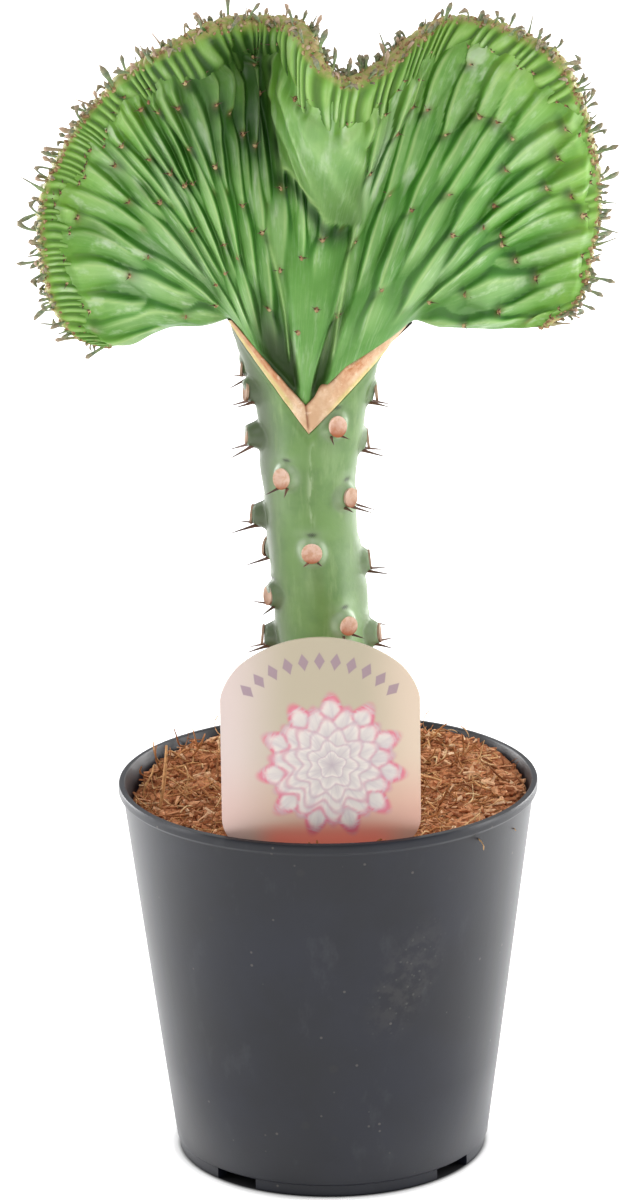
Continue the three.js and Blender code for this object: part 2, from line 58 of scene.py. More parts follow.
def smooth(low, high, value):
    """Smooth step from 0 to 1 as value goes from low to high."""
    share = np.clip((value - low) / (high - low), 0, 1)
    return share * share * (3 - 2 * share)


def fall(low, high, value):
    """Smooth step from 1 to 0 as value goes from low to high."""
    return 1 - smooth(low, high, value)


def lerp(start, end, share):
    return start + (end - start) * share


def bell(distance, spread):
    return np.exp(-((distance / spread) ** 2))


def seeded(seed):
    """A repeatable stream of numbers from 0 to 1, the same as the solids use."""
    whole = 0xFFFFFFFF
    state = seed

    def draw():
        nonlocal state
        state = (state + 0x6D2B79F5) & whole
        mixed = ((state ^ (state >> 15)) * (1 | state)) & whole
        mixed = ((mixed + (((mixed ^ (mixed >> 7)) * (61 | mixed)) & whole)) & whole) ^ mixed
        return (mixed ^ (mixed >> 14)) / 4294967296

    return draw


def joined(x, y, z):
    """Points from their three coordinates."""
    return np.stack([x, y, z], axis=-1)


def unit(vectors):
    length = np.linalg.norm(vectors, axis=-1, keepdims=True)
    return vectors / np.maximum(length, 1e-9)


def rough(points, size, seed):
    """Smooth noise from -1 to 1 at points in millimetres, with lumps of about the given size."""
    return np.array([noise.noise(Vector(p) / size + Vector((seed, 0, 0))) for p in points])


def curve_samples(points, per_span=60):
    """Points along the centripetal curve through the given points."""
    knots = np.array(points, float)
    knots = np.vstack([2 * knots[0] - knots[1], knots, 2 * knots[-1] - knots[-2]])
    shares = np.linspace(0, 1, per_span, endpoint=False)[:, None]
    found = []
    for a, b, c, d in zip(knots, knots[1:], knots[2:], knots[3:]):
        gaps = [np.linalg.norm(q - p) ** 0.5 for p, q in ((a, b), (b, c), (c, d))]
        start = (b - a) / gaps[0] - (c - a) / (gaps[0] + gaps[1]) + (c - b) / gaps[1]
        end = (c - b) / gaps[1] - (d - b) / (gaps[1] + gaps[2]) + (d - c) / gaps[2]
        start, end = start * gaps[1], end * gaps[1]
        square, cube = shares ** 2, shares ** 3
        found.append(
            b * (2 * cube - 3 * square + 1) + start * (cube - 2 * square + shares)
            + c * (3 * square - 2 * cube) + end * (cube - square)
        )
    return np.vstack([*found, knots[-2:-1]])


# Meshes and pieces

def coordinates(mesh):
    flat = np.empty(len(mesh.vertices) * 3, np.float32)
    mesh.vertices.foreach_get("co", flat)
    return flat.reshape(-1, 3).astype(float)


def move_points(mesh, points):
    mesh.vertices.foreach_set("co", np.asarray(points, np.float32).ravel())
    mesh.update()


def paint(mesh, name, values):
    """Stores a number for each point, which a material reads by this name."""
    layer = mesh.attributes.new(name, "FLOAT", "POINT")
    layer.data.foreach_set("value", np.asarray(values, np.float32))


def mesh_of(name, bm):
    mesh = bpy.data.meshes.new(name)
    bm.to_mesh(mesh)
    bm.free()
    return mesh


def close_seams(bm):
    """Joins points that coincide and turns every face outwards."""
    bmesh.ops.remove_doubles(bm, verts=bm.verts, dist=SEAM)
    bmesh.ops.dissolve_degenerate(bm, edges=bm.edges, dist=SEAM)
    bmesh.ops.recalc_face_normals(bm, faces=bm.faces)


def wrapped(name, columns, rows, surface):
    """Lays a grid over a closed surface.

    surface takes two shares from 0 to 1 and gives points in millimetres and what is painted there.
    """
    bm = bmesh.new()
    bmesh.ops.create_grid(bm, x_segments=columns, y_segments=rows, size=0.5)
    mesh = mesh_of(name, bm)
    shares = coordinates(mesh) + 0.5
    points, paints = surface(shares[:, 0], shares[:, 1])
    move_points(mesh, points * MM)
    for key, values in paints.items():
        paint(mesh, key, values)
    bm = bmesh.new()
    bm.from_mesh(mesh)
    close_seams(bm)
    bm.to_mesh(mesh)
    bm.free()
    return mesh


def bar(sides, rings):
    """A closed upright bar of length 1 and radius 1, with rings along it."""
    bm = bmesh.new()
    bmesh.ops.create_cone(
        bm, cap_ends=True, cap_tris=False, segments=sides, radius1=1, radius2=1, depth=1
    )
    uprights = [e for e in bm.edges if abs(e.verts[0].co.z - e.verts[1].co.z) > 0.5]
    bmesh.ops.subdivide_edges(bm, edges=uprights, cuts=rings, use_grid_fill=True)
    bmesh.ops.translate(bm, verts=bm.verts, vec=(0, 0, 0.5))
    return bm


def shaped(name, bm, shape):
    """Moves every point of a small mesh by a rule."""
    for vert in bm.verts:
        vert.co = shape(*vert.co)
    bmesh.ops.recalc_face_normals(bm, faces=bm.faces)
    return mesh_of(name, bm)


def placed(name, data):
    """An object in the scene that holds a mesh, a light or a camera."""
    made = bpy.data.objects.new(name, data)
    bpy.context.scene.collection.objects.link(made)
    return made


def stamped(name, templates, places):
    """Fuses copies of small meshes into one mesh. The templates have the same faces.

    places holds (which template, matrix in millimetres, shade from 0 to 1) for each copy.
    """
    holder = placed(name, templates[0])
    repeat = holder.modifiers.new("repeat", "ARRAY")
    repeat.count = len(places)
    repeat.use_relative_offset = False
    repeat.use_merge_vertices = False
    graph = bpy.context.evaluated_depsgraph_get()
    mesh = bpy.data.meshes.new_from_object(holder.evaluated_get(graph))
    bpy.data.objects.remove(holder)
    homes = [coordinates(t) for t in templates]
    turns = np.array([place for _, place, _ in places])
    copies = np.stack([homes[which] for which, _, _ in places])
    points = copies @ turns[:, :3, :3].transpose(0, 2, 1) + turns[:, None, :3, 3]
    move_points(mesh, points.reshape(-1, 3) * MM)
    highest = copies[:, :, 2].max(axis=1, keepdims=True)
    paint(mesh, "shade", np.repeat([shade for _, _, shade in places], copies.shape[1]))
    paint(mesh, "along", (copies[:, :, 2] / highest).ravel())
    return mesh


def aimed(point, way, roll, size):
    """A place whose +Z points along way, turned round it by roll and scaled."""
    turn = Vector(way).to_track_quat("Z", "Y").to_matrix().to_4x4()
    spin = Matrix.Rotation(roll, 4, "Z")
    return Matrix.Translation(Vector(point)) @ turn @ spin @ Matrix.Diagonal((*size, 1))


def piece(name, mesh, material, nodes=(), crease=None):
    """Adds a mesh to the plant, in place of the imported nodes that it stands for."""
    mesh.name = name
    mesh.materials.clear()
    mesh.materials.append(material)
    mesh.polygons.foreach_set("use_smooth", [True] * len(mesh.polygons))
    if crease is not None:
        mesh.set_sharp_from_angle(angle=math.radians(crease))
    made = placed(name, mesh)
    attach(made, "root")
    if nodes:
        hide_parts(*nodes)
    return made


def repeated(name, templates, places, material, crease=None):
    """Adds a piece made of copies of small meshes."""
    piece(name, stamped(name, templates, places), material, crease=crease)


def ball():
    bm = bmesh.new()
    bmesh.ops.create_icosphere(bm, subdivisions=1, radius=1)
    return bm


# Materials

def tone(red, green, blue):
    """A colour given as it looks on a screen, 0 to 255."""
    shares = [c / 255 for c in (red, green, blue)]
    linear = [c / 12.92 if c <= 0.04045 else ((c + 0.055) / 1.055) ** 2.4 for c in shares]
    return (*linear, 1)


def add(tree, kind, inputs=None, **settings):
    """Adds a node. inputs gives values or other nodes' outputs for its sockets."""
    node = tree.nodes.new("ShaderNode" + kind)
    for key, value in settings.items():
        setattr(node, key, value)
    for key, value in (inputs or {}).items():
        if isinstance(value, bpy.types.NodeSocket):
            tree.links.new(value, node.inputs[key])
        else:
            node.inputs[key].default_value = value
    return node


def number(tree, operation, first, second=0.0):
    return add(tree, "Math", {0: first, 1: second}, operation=operation).outputs[0]


def times(tree, first, second):
    return number(tree, "MULTIPLY", first, second)


def between(tree, value, low, high, to_low=0.0, to_high=1.0):
    """Maps a value smoothly from low..high to to_low..to_high."""
    node = add(
        tree, "MapRange", {0: value, 1: low, 2: high, 3: to_low, 4: to_high},
        interpolation_type="SMOOTHSTEP",
    )
    return node.outputs[0]


def over(tree, below, above, share):
    """Lays one colour over another."""
    return add(tree, "Mix", {0: share, 6: below, 7: above}, data_type="RGBA").outputs[2]


def tinted(tree, below, colour, mask, amount):
    """Lays a colour, given as it looks on a screen, over another by a share of a mask."""
    return over(tree, below, tone(*colour), times(tree, mask, amount))


def layered(tree, below, layers):
    """Lays colours over another: mask or name of a painted mask, colour and amount of each."""
    for mask, colour, amount in layers:
        mask = painted(tree, mask) if isinstance(mask, str) else mask
        below = tinted(tree, below, colour, mask, amount)
    return below


def ramp(tree, value, stops):
    """A run of colours, given as (position, colour on a screen) pairs."""
    node = add(tree, "ValToRGB", {0: value})
    while len(node.color_ramp.elements) < len(stops):
        node.color_ramp.elements.new(0.5)
    for element, (position, colour) in zip(node.color_ramp.elements, stops):
        element.position = position
        element.color = tone(*colour)
    return node.outputs[0]


def painted(tree, name):
    return add(tree, "Attribute", attribute_name=name).outputs["Fac"]


def own_space(tree):
    return add(tree, "TexCoord").outputs["Object"]


def new_group(name, inputs, output):
    """A shared effect with named inputs and one named output."""
    tree = bpy.data.node_groups.new(name, "ShaderNodeTree")
    for label, value in inputs.items():
        kind = "NodeSocketVector" if isinstance(value, tuple) else "NodeSocketFloat"
        socket = tree.interface.new_socket(name=label, in_out="INPUT", socket_type=kind)
        socket.default_value = value
    tree.interface.new_socket(name=output, in_out="OUTPUT", socket_type="NodeSocketFloat")
    return tree, tree.nodes.new("NodeGroupInput").outputs, tree.nodes.new("NodeGroupOutput").inputs


def mottling_group():
    """Soft patches: a mask that rises where the noise passes from Low to High."""
    tree, given, out = new_group(
        "mottling", {"Vector": (0, 0, 0), "Stretch": (1, 1, 1), "Scale": 100.0, "Low": 0.4, "High": 0.6},
        "Mask",
    )
    stretched = add(tree, "VectorMath", {0: given["Vector"], 1: given["Stretch"]}, operation="MULTIPLY")
    patches = add(
        tree, "TexNoise",
        {"Vector": stretched.outputs[0], "Scale": given["Scale"], "Detail": 4.0, "Roughness": 0.6},
    )
    mask = between(tree, patches.outputs[0], given["Low"], given["High"])
    tree.links.new(mask, out["Mask"])
    return tree


def specks_group():
    """Small round specks, fewer as Share falls."""
    tree, given, out = new_group(
        "specks", {"Vector": (0, 0, 0), "Scale": 300.0, "Size": 0.2, "Share": 0.3}, "Mask"
    )
    cells = add(tree, "TexVoronoi", {"Vector": given["Vector"], "Scale": given["Scale"]})
    spot = between(tree, cells.outputs["Distance"], given["Size"], times(tree, given["Size"], 0.5))
    lot = add(tree, "SeparateColor", {0: cells.outputs["Color"]}).outputs[0]
    chosen = number(tree, "LESS_THAN", lot, given["Share"])
    tree.links.new(times(tree, spot, chosen), out["Mask"])
    return tree


def fine_skin_group():
    """Height of fine pores over shallow waves."""
    tree, given, out = new_group("fine skin", {"Vector": (0, 0, 0), "Scale": 600.0, "Waves": 0.5}, "Height")
    pores = add(
        tree, "TexNoise", {"Vector": given["Vector"], "Scale": given["Scale"], "Detail": 3.0}
    ).outputs[0]
    broad = times(tree, given["Scale"], 0.18)
    waves = add(tree, "TexNoise", {"Vector": given["Vector"], "Scale": broad, "Detail": 2.0}).outputs[0]
    tree.links.new(add(tree, "Mix", {0: given["Waves"], 2: pores, 3: waves}).outputs[0], out["Height"])
    return tree


SHARED = {"mottling": mottling_group(), "specks": specks_group(), "fine skin": fine_skin_group()}


def shared(tree, name, inputs):
    """Places a shared effect in a material with its own values."""
    return add(tree, "Group", inputs, node_tree=SHARED[name]).outputs[0]


def mottling(tree, space, scale, low=0.4, high=0.6, stretch=(1, 1, 1)):
    """A mask of soft patches."""
    return shared(
        tree, "mottling", {"Vector": space, "Stretch": stretch, "Scale": scale, "Low": low, "High": high}
    )


def new_finish(name, constants):
    """A material with its shader. constants gives the shader's plain values."""
    material = bpy.data.materials.new(name)
    material.use_nodes = True
    tree = material.node_tree
    shader = tree.nodes["Principled BSDF"]
    for key, value in constants.items():
        shader.inputs[key].default_value = value
    return material, tree, shader


def finish_with(tree, shader, colour, roughness=None, pores=None, depth=0.2, strength=0.5, waves=0.5):
    """Joins a colour, a roughness and the height of fine skin, in millimetres deep, to the shader."""
    tree.links.new(colour, shader.inputs["Base Color"])
    if roughness is not None:
        tree.links.new(roughness, shader.inputs["Roughness"])
    if pores is not None:
        height = shared(tree, "fine skin", {"Vector": own_space(tree), "Scale": pores, "Waves": waves})
        bump = add(tree, "Bump", {"Strength": strength, "Distance": depth * MM, "Height": height})
        tree.links.new(bump.outputs[0], shader.inputs["Normal"])


# Light goes a little way into living skin
LIVING = {"Subsurface Weight": 0.08, "Subsurface Scale": 0.004, "Subsurface Radius": (0.4, 1.0, 0.2)}


def crest_finish():
    material, tree, shader = new_finish("crest skin", {"Specular IOR Level": 0.32, **LIVING})
    ridge = painted(tree, "ridge")
    radial = painted(tree, "radial")
    fan = add(tree, "CombineXYZ", {0: painted(tree, "row"), 1: radial, 2: painted(tree, "face")}).outputs[0]
    # The green goes from dark to light with the painted light and shade on the leaf bases
    green = ramp(tree, ridge, [
        (0.0, (26, 82, 6)), (0.22, (50, 110, 20)), (0.55, (90, 144, 58)),
        (1.0, (128, 170, 98)),
    ])
    old = over(tree, green, tone(136, 166, 114), between(tree, radial, 0.6, 0.05, 0.0, 0.22))
    young = over(tree, old, tone(146, 188, 66), between(tree, radial, 0.6, 1.0, 0.0, 0.45))
    patches = mottling(tree, own_space(tree), 90.0, 0.42, 0.62)
    mottled = tinted(tree, young, (72, 132, 46), patches, 0.35)
    # Where the leaf bases are painted lit
    where_lit = between(tree, ridge, 0.3, 0.9)
    lot = painted(tree, "lot")
    mottled = over(tree, mottled, tone(58, 120, 34), between(tree, lot, 0.4, 0.0, 0.0, 0.35))
    # Paler blades by lot, only on the lit faces: partly their own tone and partly a painted highlight
    pale = times(tree, between(tree, lot, 0.6, 1.0, 0.0, 0.4), where_lit)
    mottled = over(tree, mottled, tone(150, 184, 120), pale)
    mottled = tinted(tree, mottled, (104, 132, 68), painted(tree, "olive"), 0.45)
    streaks = mottling(tree, fan, 1.0, 0.5, 0.74, stretch=(2.2, 9.0, 3.0))
    # Whitish bloom streaked on the lit faces, which also stands for a painted sheen
    bloom = times(tree, times(tree, streaks, where_lit), 0.75)
    with_bloom_and_sheen = over(tree, mottled, tone(166, 192, 148), bloom)
    # A painted sheen in soft patches on the lit faces
    painted_sheen = mottling(tree, fan, 1.0, 0.56, 0.68, stretch=(0.9, 5.0, 2.0))
    with_painted_sheen = tinted(tree, with_bloom_and_sheen, (196, 210, 184), times(tree, painted_sheen, where_lit), 0.5)
    lines = mottling(tree, fan, 1.0, 0.45, 0.7, stretch=(9.0, 5.0, 3.0))
    lined = tinted(tree, with_painted_sheen, (156, 194, 120), times(tree, lines, where_lit), 0.25)
    # Patches of whitish bloom with a painted sheen, on the lit faces
    broken = between(tree, streaks, 0.0, 1.0, 0.55, 1.0)
    bloom_and_sheen_mask = times(tree, painted(tree, "bloom"), broken)
    bloom_and_sheen_mask = times(tree, bloom_and_sheen_mask, between(tree, ridge, 0.1, 0.6, 0.15, 0.8))
    with_bloom_and_sheen_patches = over(tree, lined, tone(184, 204, 168), bloom_and_sheen_mask)
    # Painted highlights on the bright edges, painted shade in the gaps, the fold, the pockets and the
    # hollows beside the wedge, and the nodes' own brown
    noded = layered(tree, with_bloom_and_sheen_patches, [
        ("rim", (172, 200, 130), 0.58), ("dark", (14, 50, 6), 0.85), ("deep", (36, 46, 14), 0.75),
        ("node", (128, 96, 62), 0.5),
    ])
    tufts = mottling(tree, own_space(tree), 700.0, 0.35, 0.65)
    wool = over(tree, tone(142, 146, 76), tone(186, 148, 112), tufts)
    woolly = over(tree, noded, wool, times(tree, painted(tree, "wool"), 0.75))
    gloss = between(tree, patches, 0.0, 1.0, 0.4, 0.54)
    finish_with(tree, shader, woolly, gloss, pores=900.0, depth=0.25, strength=0.35)
    return material


def stem_finish():
    material, tree, shader = new_finish("rootstock skin", {"Specular IOR Level": 0.5, **LIVING})
    space = own_space(tree)
    lengthways = (1, 1, 0.22)
    patches = mottling(tree, space, 70.0, 0.4, 0.65)
    streaks = mottling(tree, space, 260.0, 0.5, 0.72, stretch=lengthways)
    streaked = layered(tree, tone(101, 135, 71), [
        (patches, (80, 114, 56), 0.7), (streaks, (132, 159, 103), 0.55),
    ])
    # A painted highlight on the raised shoulders round each scar
    pale = times(tree, painted(tree, "shoulder"), between(tree, patches, 0.0, 1.0, 0.8, 0.5))
    shouldered = over(tree, streaked, tone(140, 158, 126), pale)
    dashes = mottling(tree, space, 420.0, 0.46, 0.6, stretch=lengthways)
    scratches = times(tree, dashes, painted(tree, "scratch"))
    scratched = over(tree, shouldered, tone(178, 194, 156), scratches)
    # Painted shade down the stem's sides, deeper on the left
    grey = tinted(tree, scratched, (70, 82, 56), painted(tree, "grey"), 0.92)
    bud = over(tree, grey, tone(52, 62, 40), painted(tree, "bud"))
    gloss = between(tree, streaks, 0.0, 1.0, 0.4, 0.55)
    finish_with(tree, shader, bud, gloss, pores=800.0, depth=0.25, strength=0.35)
    return material


def scar_finish():
    material, tree, shader = new_finish("leaf scar", {"Roughness": 0.8, "Specular IOR Level": 0.3})
    patches = mottling(tree, own_space(tree), 500.0, 0.4, 0.65)
    cream = over(tree, tone(238, 212, 194), tone(214, 176, 148), patches)
    aged = tinted(tree, cream, (156, 130, 108), painted(tree, "aged"), 0.8)
    dotted = over(tree, aged, tone(188, 130, 96), painted(tree, "middle"))
    rusty = over(tree, tone(160, 88, 52), tone(108, 78, 56), painted(tree, "aged"))
    # A rust-brown stain below each disc, and painted shade round its edge
    with_stain_and_edge_shade = over(tree, dotted, rusty, painted(tree, "stain_and_edge_shade"))
    finish_with(tree, shader, with_stain_and_edge_shade, pores=1500.0, depth=0.3, strength=0.6)
    return material


def thorn_finish():
    material, tree, shader = new_finish("thorn", {"Roughness": 0.5})
    along = painted(tree, "along")
    brown = ramp(tree, along, [
        (0.0, (132, 92, 62)), (0.25, (88, 60, 48)), (0.8, (72, 54, 50)), (1.0, (104, 90, 86)),
    ])
    varied = tinted(tree, brown, (134, 92, 62), painted(tree, "shade"), 0.35)
    finish_with(tree, shader, varied, pores=2500.0, depth=0.1, strength=0.4)
    return material


def node_finish():
    material, tree, shader = new_finish("spine shield", {"Roughness": 0.85, "Specular IOR Level": 0.25})
    patches = mottling(tree, own_space(tree), 900.0)
    brown = over(tree, tone(140, 112, 76), tone(192, 172, 128), patches)
    varied = tinted(tree, brown, (122, 78, 54), painted(tree, "shade"), 0.6)
    finish_with(tree, shader, varied, pores=2600.0, depth=0.3, strength=0.8)
    return material


def leaflet_finish():
    material, tree, shader = new_finish("leaflet", {"Roughness": 0.55})
    along = painted(tree, "along")
    fresh = ramp(tree, along, [
        (0.0, (150, 176, 88)), (0.35, (116, 142, 88)), (0.7, (96, 112, 84)),
        (1.0, (128, 108, 86)),
    ])
    dry = ramp(tree, along, [
        (0.0, (158, 146, 92)), (0.5, (142, 118, 88)), (1.0, (186, 156, 136)),
    ])
    lot = between(tree, painted(tree, "shade"), 0.55, 0.75)
    colour = over(tree, fresh, dry, lot)
    patches = mottling(tree, own_space(tree), 1200.0, 0.4, 0.65)
    varied = tinted(tree, colour, (196, 190, 150), patches, 0.25)
    finish_with(tree, shader, varied, pores=3000.0, depth=0.1, strength=0.4)
    return material


def callus_finish():
    material, tree, shader = new_finish("callus", {"Specular IOR Level": 0.3})
    space = own_space(tree)
    patches = mottling(tree, space, 160.0, 0.38, 0.62)
    beige = over(tree, tone(216, 186, 154), tone(200, 162, 128), patches)
    fan = add(tree, "CombineXYZ", {0: painted(tree, "arm"), 1: painted(tree, "height"), 2: 0.0}).outputs[0]
    streaks = mottling(tree, fan, 1.6, 0.4, 0.68, stretch=(9, 3, 1))
    rust = times(tree, painted(tree, "rust"), between(tree, streaks, 0.0, 1.0, 0.5, 1.0))
    chalk = mottling(tree, space, 420.0, 0.56, 0.7)
    chalky = layered(tree, beige, [
        ("lime", (196, 186, 118), 0.75), (rust, (176, 102, 52), 0.85), ("edge", (140, 84, 44), 0.6),
        ("seam", (120, 66, 40), 0.8), (chalk, (236, 212, 186), 0.45),
    ])
    gloss = between(tree, patches, 0.0, 1.0, 0.7, 0.9)
    finish_with(tree, shader, chalky, gloss, pores=1300.0, depth=0.4, strength=0.7)
    return material


def coir_finish():
    material, tree, shader = new_finish("coir", {"Roughness": 0.95, "Specular IOR Level": 0.2})
    space = own_space(tree)
    patches = mottling(tree, space, 320.0, 0.36, 0.64)
    brown = over(tree, tone(146, 84, 50), tone(216, 148, 104), patches)
    dark = mottling(tree, space, 700.0, 0.5, 0.66)
    pitted = tinted(tree, brown, (72, 38, 20), dark, 0.6)
    finish_with(tree, shader, pitted, pores=1400.0, depth=0.8, strength=1.0)
    return material


def strand_finish(name, stops):
    """Coir chips and fibres: one colour for each strand, from a run of colours."""
    material, tree, shader = new_finish(name, {"Roughness": 0.85, "Specular IOR Level": 0.25})
    colour = ramp(tree, painted(tree, "shade"), stops)
    patches = mottling(tree, own_space(tree), 800.0, 0.4, 0.65)
    varied = tinted(tree, colour, (96, 52, 26), patches, 0.4)
    finish_with(tree, shader, varied, pores=3000.0, depth=0.2, strength=0.6)
    return material


def off_smudge(tree, space):
    """Distance from the middle of a dusty smudge on the pot's front, drawn out along a slant."""
    place = add(tree, "Mapping", {0: space, 1: (-0.021, 0.047, -0.067)}).outputs[0]
    turned = {0: place, 2: (0, 0.4, 0), 3: (0.7, 4.0, 1.5)}
    slanted = add(tree, "Mapping", turned, vector_type="TEXTURE").outputs[0]
    return add(tree, "VectorMath", {0: slanted}, operation="LENGTH").outputs["Value"]


def pot_finish():
    material, tree, shader = new_finish(
        "pot plastic", {"Specular IOR Level": 0.25, "Coat Weight": 0.3, "Coat Roughness": 0.28}
    )
    space = own_space(tree)
    patches = mottling(tree, space, 26.0, 0.35, 0.7)
    black = over(tree, tone(13, 15, 24), tone(20, 23, 35), patches)
    scuffs = mottling(tree, space, 120.0, 0.6, 0.8, stretch=(1, 1, 0.5))
    crumbs = shared(tree, "specks", {"Vector": space, "Scale": 310.0, "Size": 0.16, "Share": 0.16})
    dust = number(
        tree, "ADD", shared(tree, "specks", {"Vector": space, "Scale": 620.0, "Size": 0.3, "Share": 0.4}),
        times(tree, mottling(tree, space, 240.0), 0.5),
    )
    smudge = times(tree, between(tree, off_smudge(tree, space), 0.016, 0.005), dust)
    pits = shared(tree, "specks", {"Vector": space, "Scale": 120.0, "Size": 0.2, "Share": 0.1})
    used = layered(tree, black, [
        (scuffs, (62, 64, 68), 0.4), (crumbs, (104, 98, 92), 0.45), (smudge, (88, 84, 80), 0.3),
        (pits, (28, 28, 31), 0.6),
    ])
    gloss = between(tree, scuffs, 0.0, 1.0, 0.42, 0.62)
    finish_with(tree, shader, used, gloss, pores=1500.0, depth=0.08, strength=0.35, waves=0.6)
    return material


# Rootstock, close to the measures of the solids

STEM_STATIONS = [
    (2.2, 12.6, 58), (1.8, 13.2, 104), (-1.2, 13.2, 155), (-4.2, 12.8, 199),
    (-3.2, 14.2, 214), (-3.0, 16.4, 226), (-2.8, 20.2, 236.5), (-1.0, 25.2, 246), (-0.8, 26.4, 250),
]
STEM_DEPTH = {"at soil": 13.2, "at top": 12.2}
FLARE = {"from": 200, "to": 250}
# Angle from the front, height and swelling of each leaf scar
LEAF_SCARS = [
    (-97, 232, 0.5), (88, 224.8, 0.7), (-78, 226, 1.1), (25, 218, 0.7), (-84, 213, 1.9),
    (92, 210.8, 0.8), (-164, 207, 1.0), (-32, 203, 0.8), (51, 196.4, 0.8), (132, 193, 1.0),
    (-96, 189, 1.8), (-2, 181.7, 0.7), (-118, 178, 1.0), (92, 175.5, 1.0), (168, 173, 1.0),
    (-66, 167.3, 1.0), (31, 160, 0.8), (133, 158, 1.0), (84, 154.5, 1.3), (-92, 153.7, 1.6),
    (-156, 153, 1.0), (70, 140, 1.0), (169, 138, 1.0), (-120, 133, 1.0), (-20, 127, 1.0),
    (106, 121.5, 1.0), (-155, 118, 1.0),
]
TUBERCLE = {"top": 2.3, "foot": 4.6, "height": 2.2}
# Soft forms at each scar: a rib below it, a lid above it and the slit of a bud in the lid, each as
# place aside, spread aside, place above and spread upwards
SCAR_RIB = (0.0, 3.4, -7.0, 6.0)
SCAR_LID = (0.0, 3.6, 5.2, 1.9)
SCAR_SLIT = (0.4, 1.2, 5.0, 0.45)
# Steps of a scar's disc from its edge inwards: width and rise
SCAR_STEPS = [(0.1, 0.12), (0.35, 0.1), (0.2, -0.14), (0.12, 0.06)]
SCAR_SIZE = {"half width": 2.6, "half height": 2.75, "varies": 0.35, "thickness": 2.4, "proud": 0.25}
SCAR_SKIRT = 0.28
# Shallow flutes that twist up the stem
FLUTES = {"count": 5, "depth": 0.35, "from": 8, "twist": 0.5, "level": 180}
STEM_THORN = {
    "length": 8.0, "sunk": 1.6, "radius": 0.95, "drop": 2.9, "aside": 5.0, "below skin": 0.9,
    "spread": 26, "more spread": 16,
}
SOIL_LEVEL = 105.2

STOCK_V = [(-26.6, 246.2), (-4.2, 215.8), (25.2, 244.2)]
CREST_V = [(-25.2, 246.9), (-5.0, 224.2), (6.5, 235.0), (24.6, 245.2)]
# Where the points of each cut lie when its run is counted in arms of the V
STOCK_V_RUN = [0, 1, 2]
CREST_V_RUN = [0, 1, 1.4, 2]
CALLUS_TOP_RUN = [0, 1, 1.45, 2]

stem_samples = curve_samples(STEM_STATIONS)


def stem_at(height):
    """Offset of the axis, half width and half depth of the rootstock at a height."""
    x = np.interp(height, stem_samples[:, 2], stem_samples[:, 0])
    half_width = np.interp(height, stem_samples[:, 2], stem_samples[:, 1])
    rise = smooth(FLARE["from"], FLARE["to"], height)
    at_soil = np.minimum(half_width, STEM_DEPTH["at soil"])
    return x, half_width, lerp(at_soil, STEM_DEPTH["at top"], rise)


def stem_skin(height, angle, proud=0.0):
    """Points on the rootstock at angles in degrees from the front, positive towards +X."""
    x, half_width, half_depth = stem_at(height)
    turn = np.radians(angle)
    return joined(
        x + np.sin(turn) * (half_width + proud), -np.cos(turn) * (half_depth + proud), height + 0 * turn
    )


def cut_height(x, cut):
    """Height of a V cut at x."""
    xs, zs = zip(*cut)
    return np.interp(x, xs, zs)


def on_cut(run, cut_run, cut):
    """x and height of a V cut at places along it."""
    xs, zs = zip(*cut)
    return np.interp(run, cut_run, xs), np.interp(run, cut_run, zs)


def stem_top(angle):
    """Height at which the skin meets the V cut, for each angle."""
    low = np.full_like(angle, STOCK_V[1][1] - 6.0)
    high = np.full_like(angle, FLARE["to"] - 1.0)
    for _ in range(30):
        middle_height = (low + high) / 2
        below = middle_height < cut_height(stem_skin(middle_height, angle)[:, 0], STOCK_V)
        low = np.where(below, middle_height, low)
        high = np.where(below, high, middle_height)
    return low


STEM_COLUMNS = 220
STEM_ROWS = 250
BURIED_ROWS = 6
# The stretch of the front where fine scratches run down the stem, fading in and out
SCRATCHED = {"fades in": (186, 192), "fades out": (211, 215), "angle": 1, "width": 0.8}


def soft_form(aside, above, form):
    """A soft form beside a scar, from 0 to 1."""
    at, spread, height, rise = form
    return bell(aside - at, spread) * bell(above - height, rise)


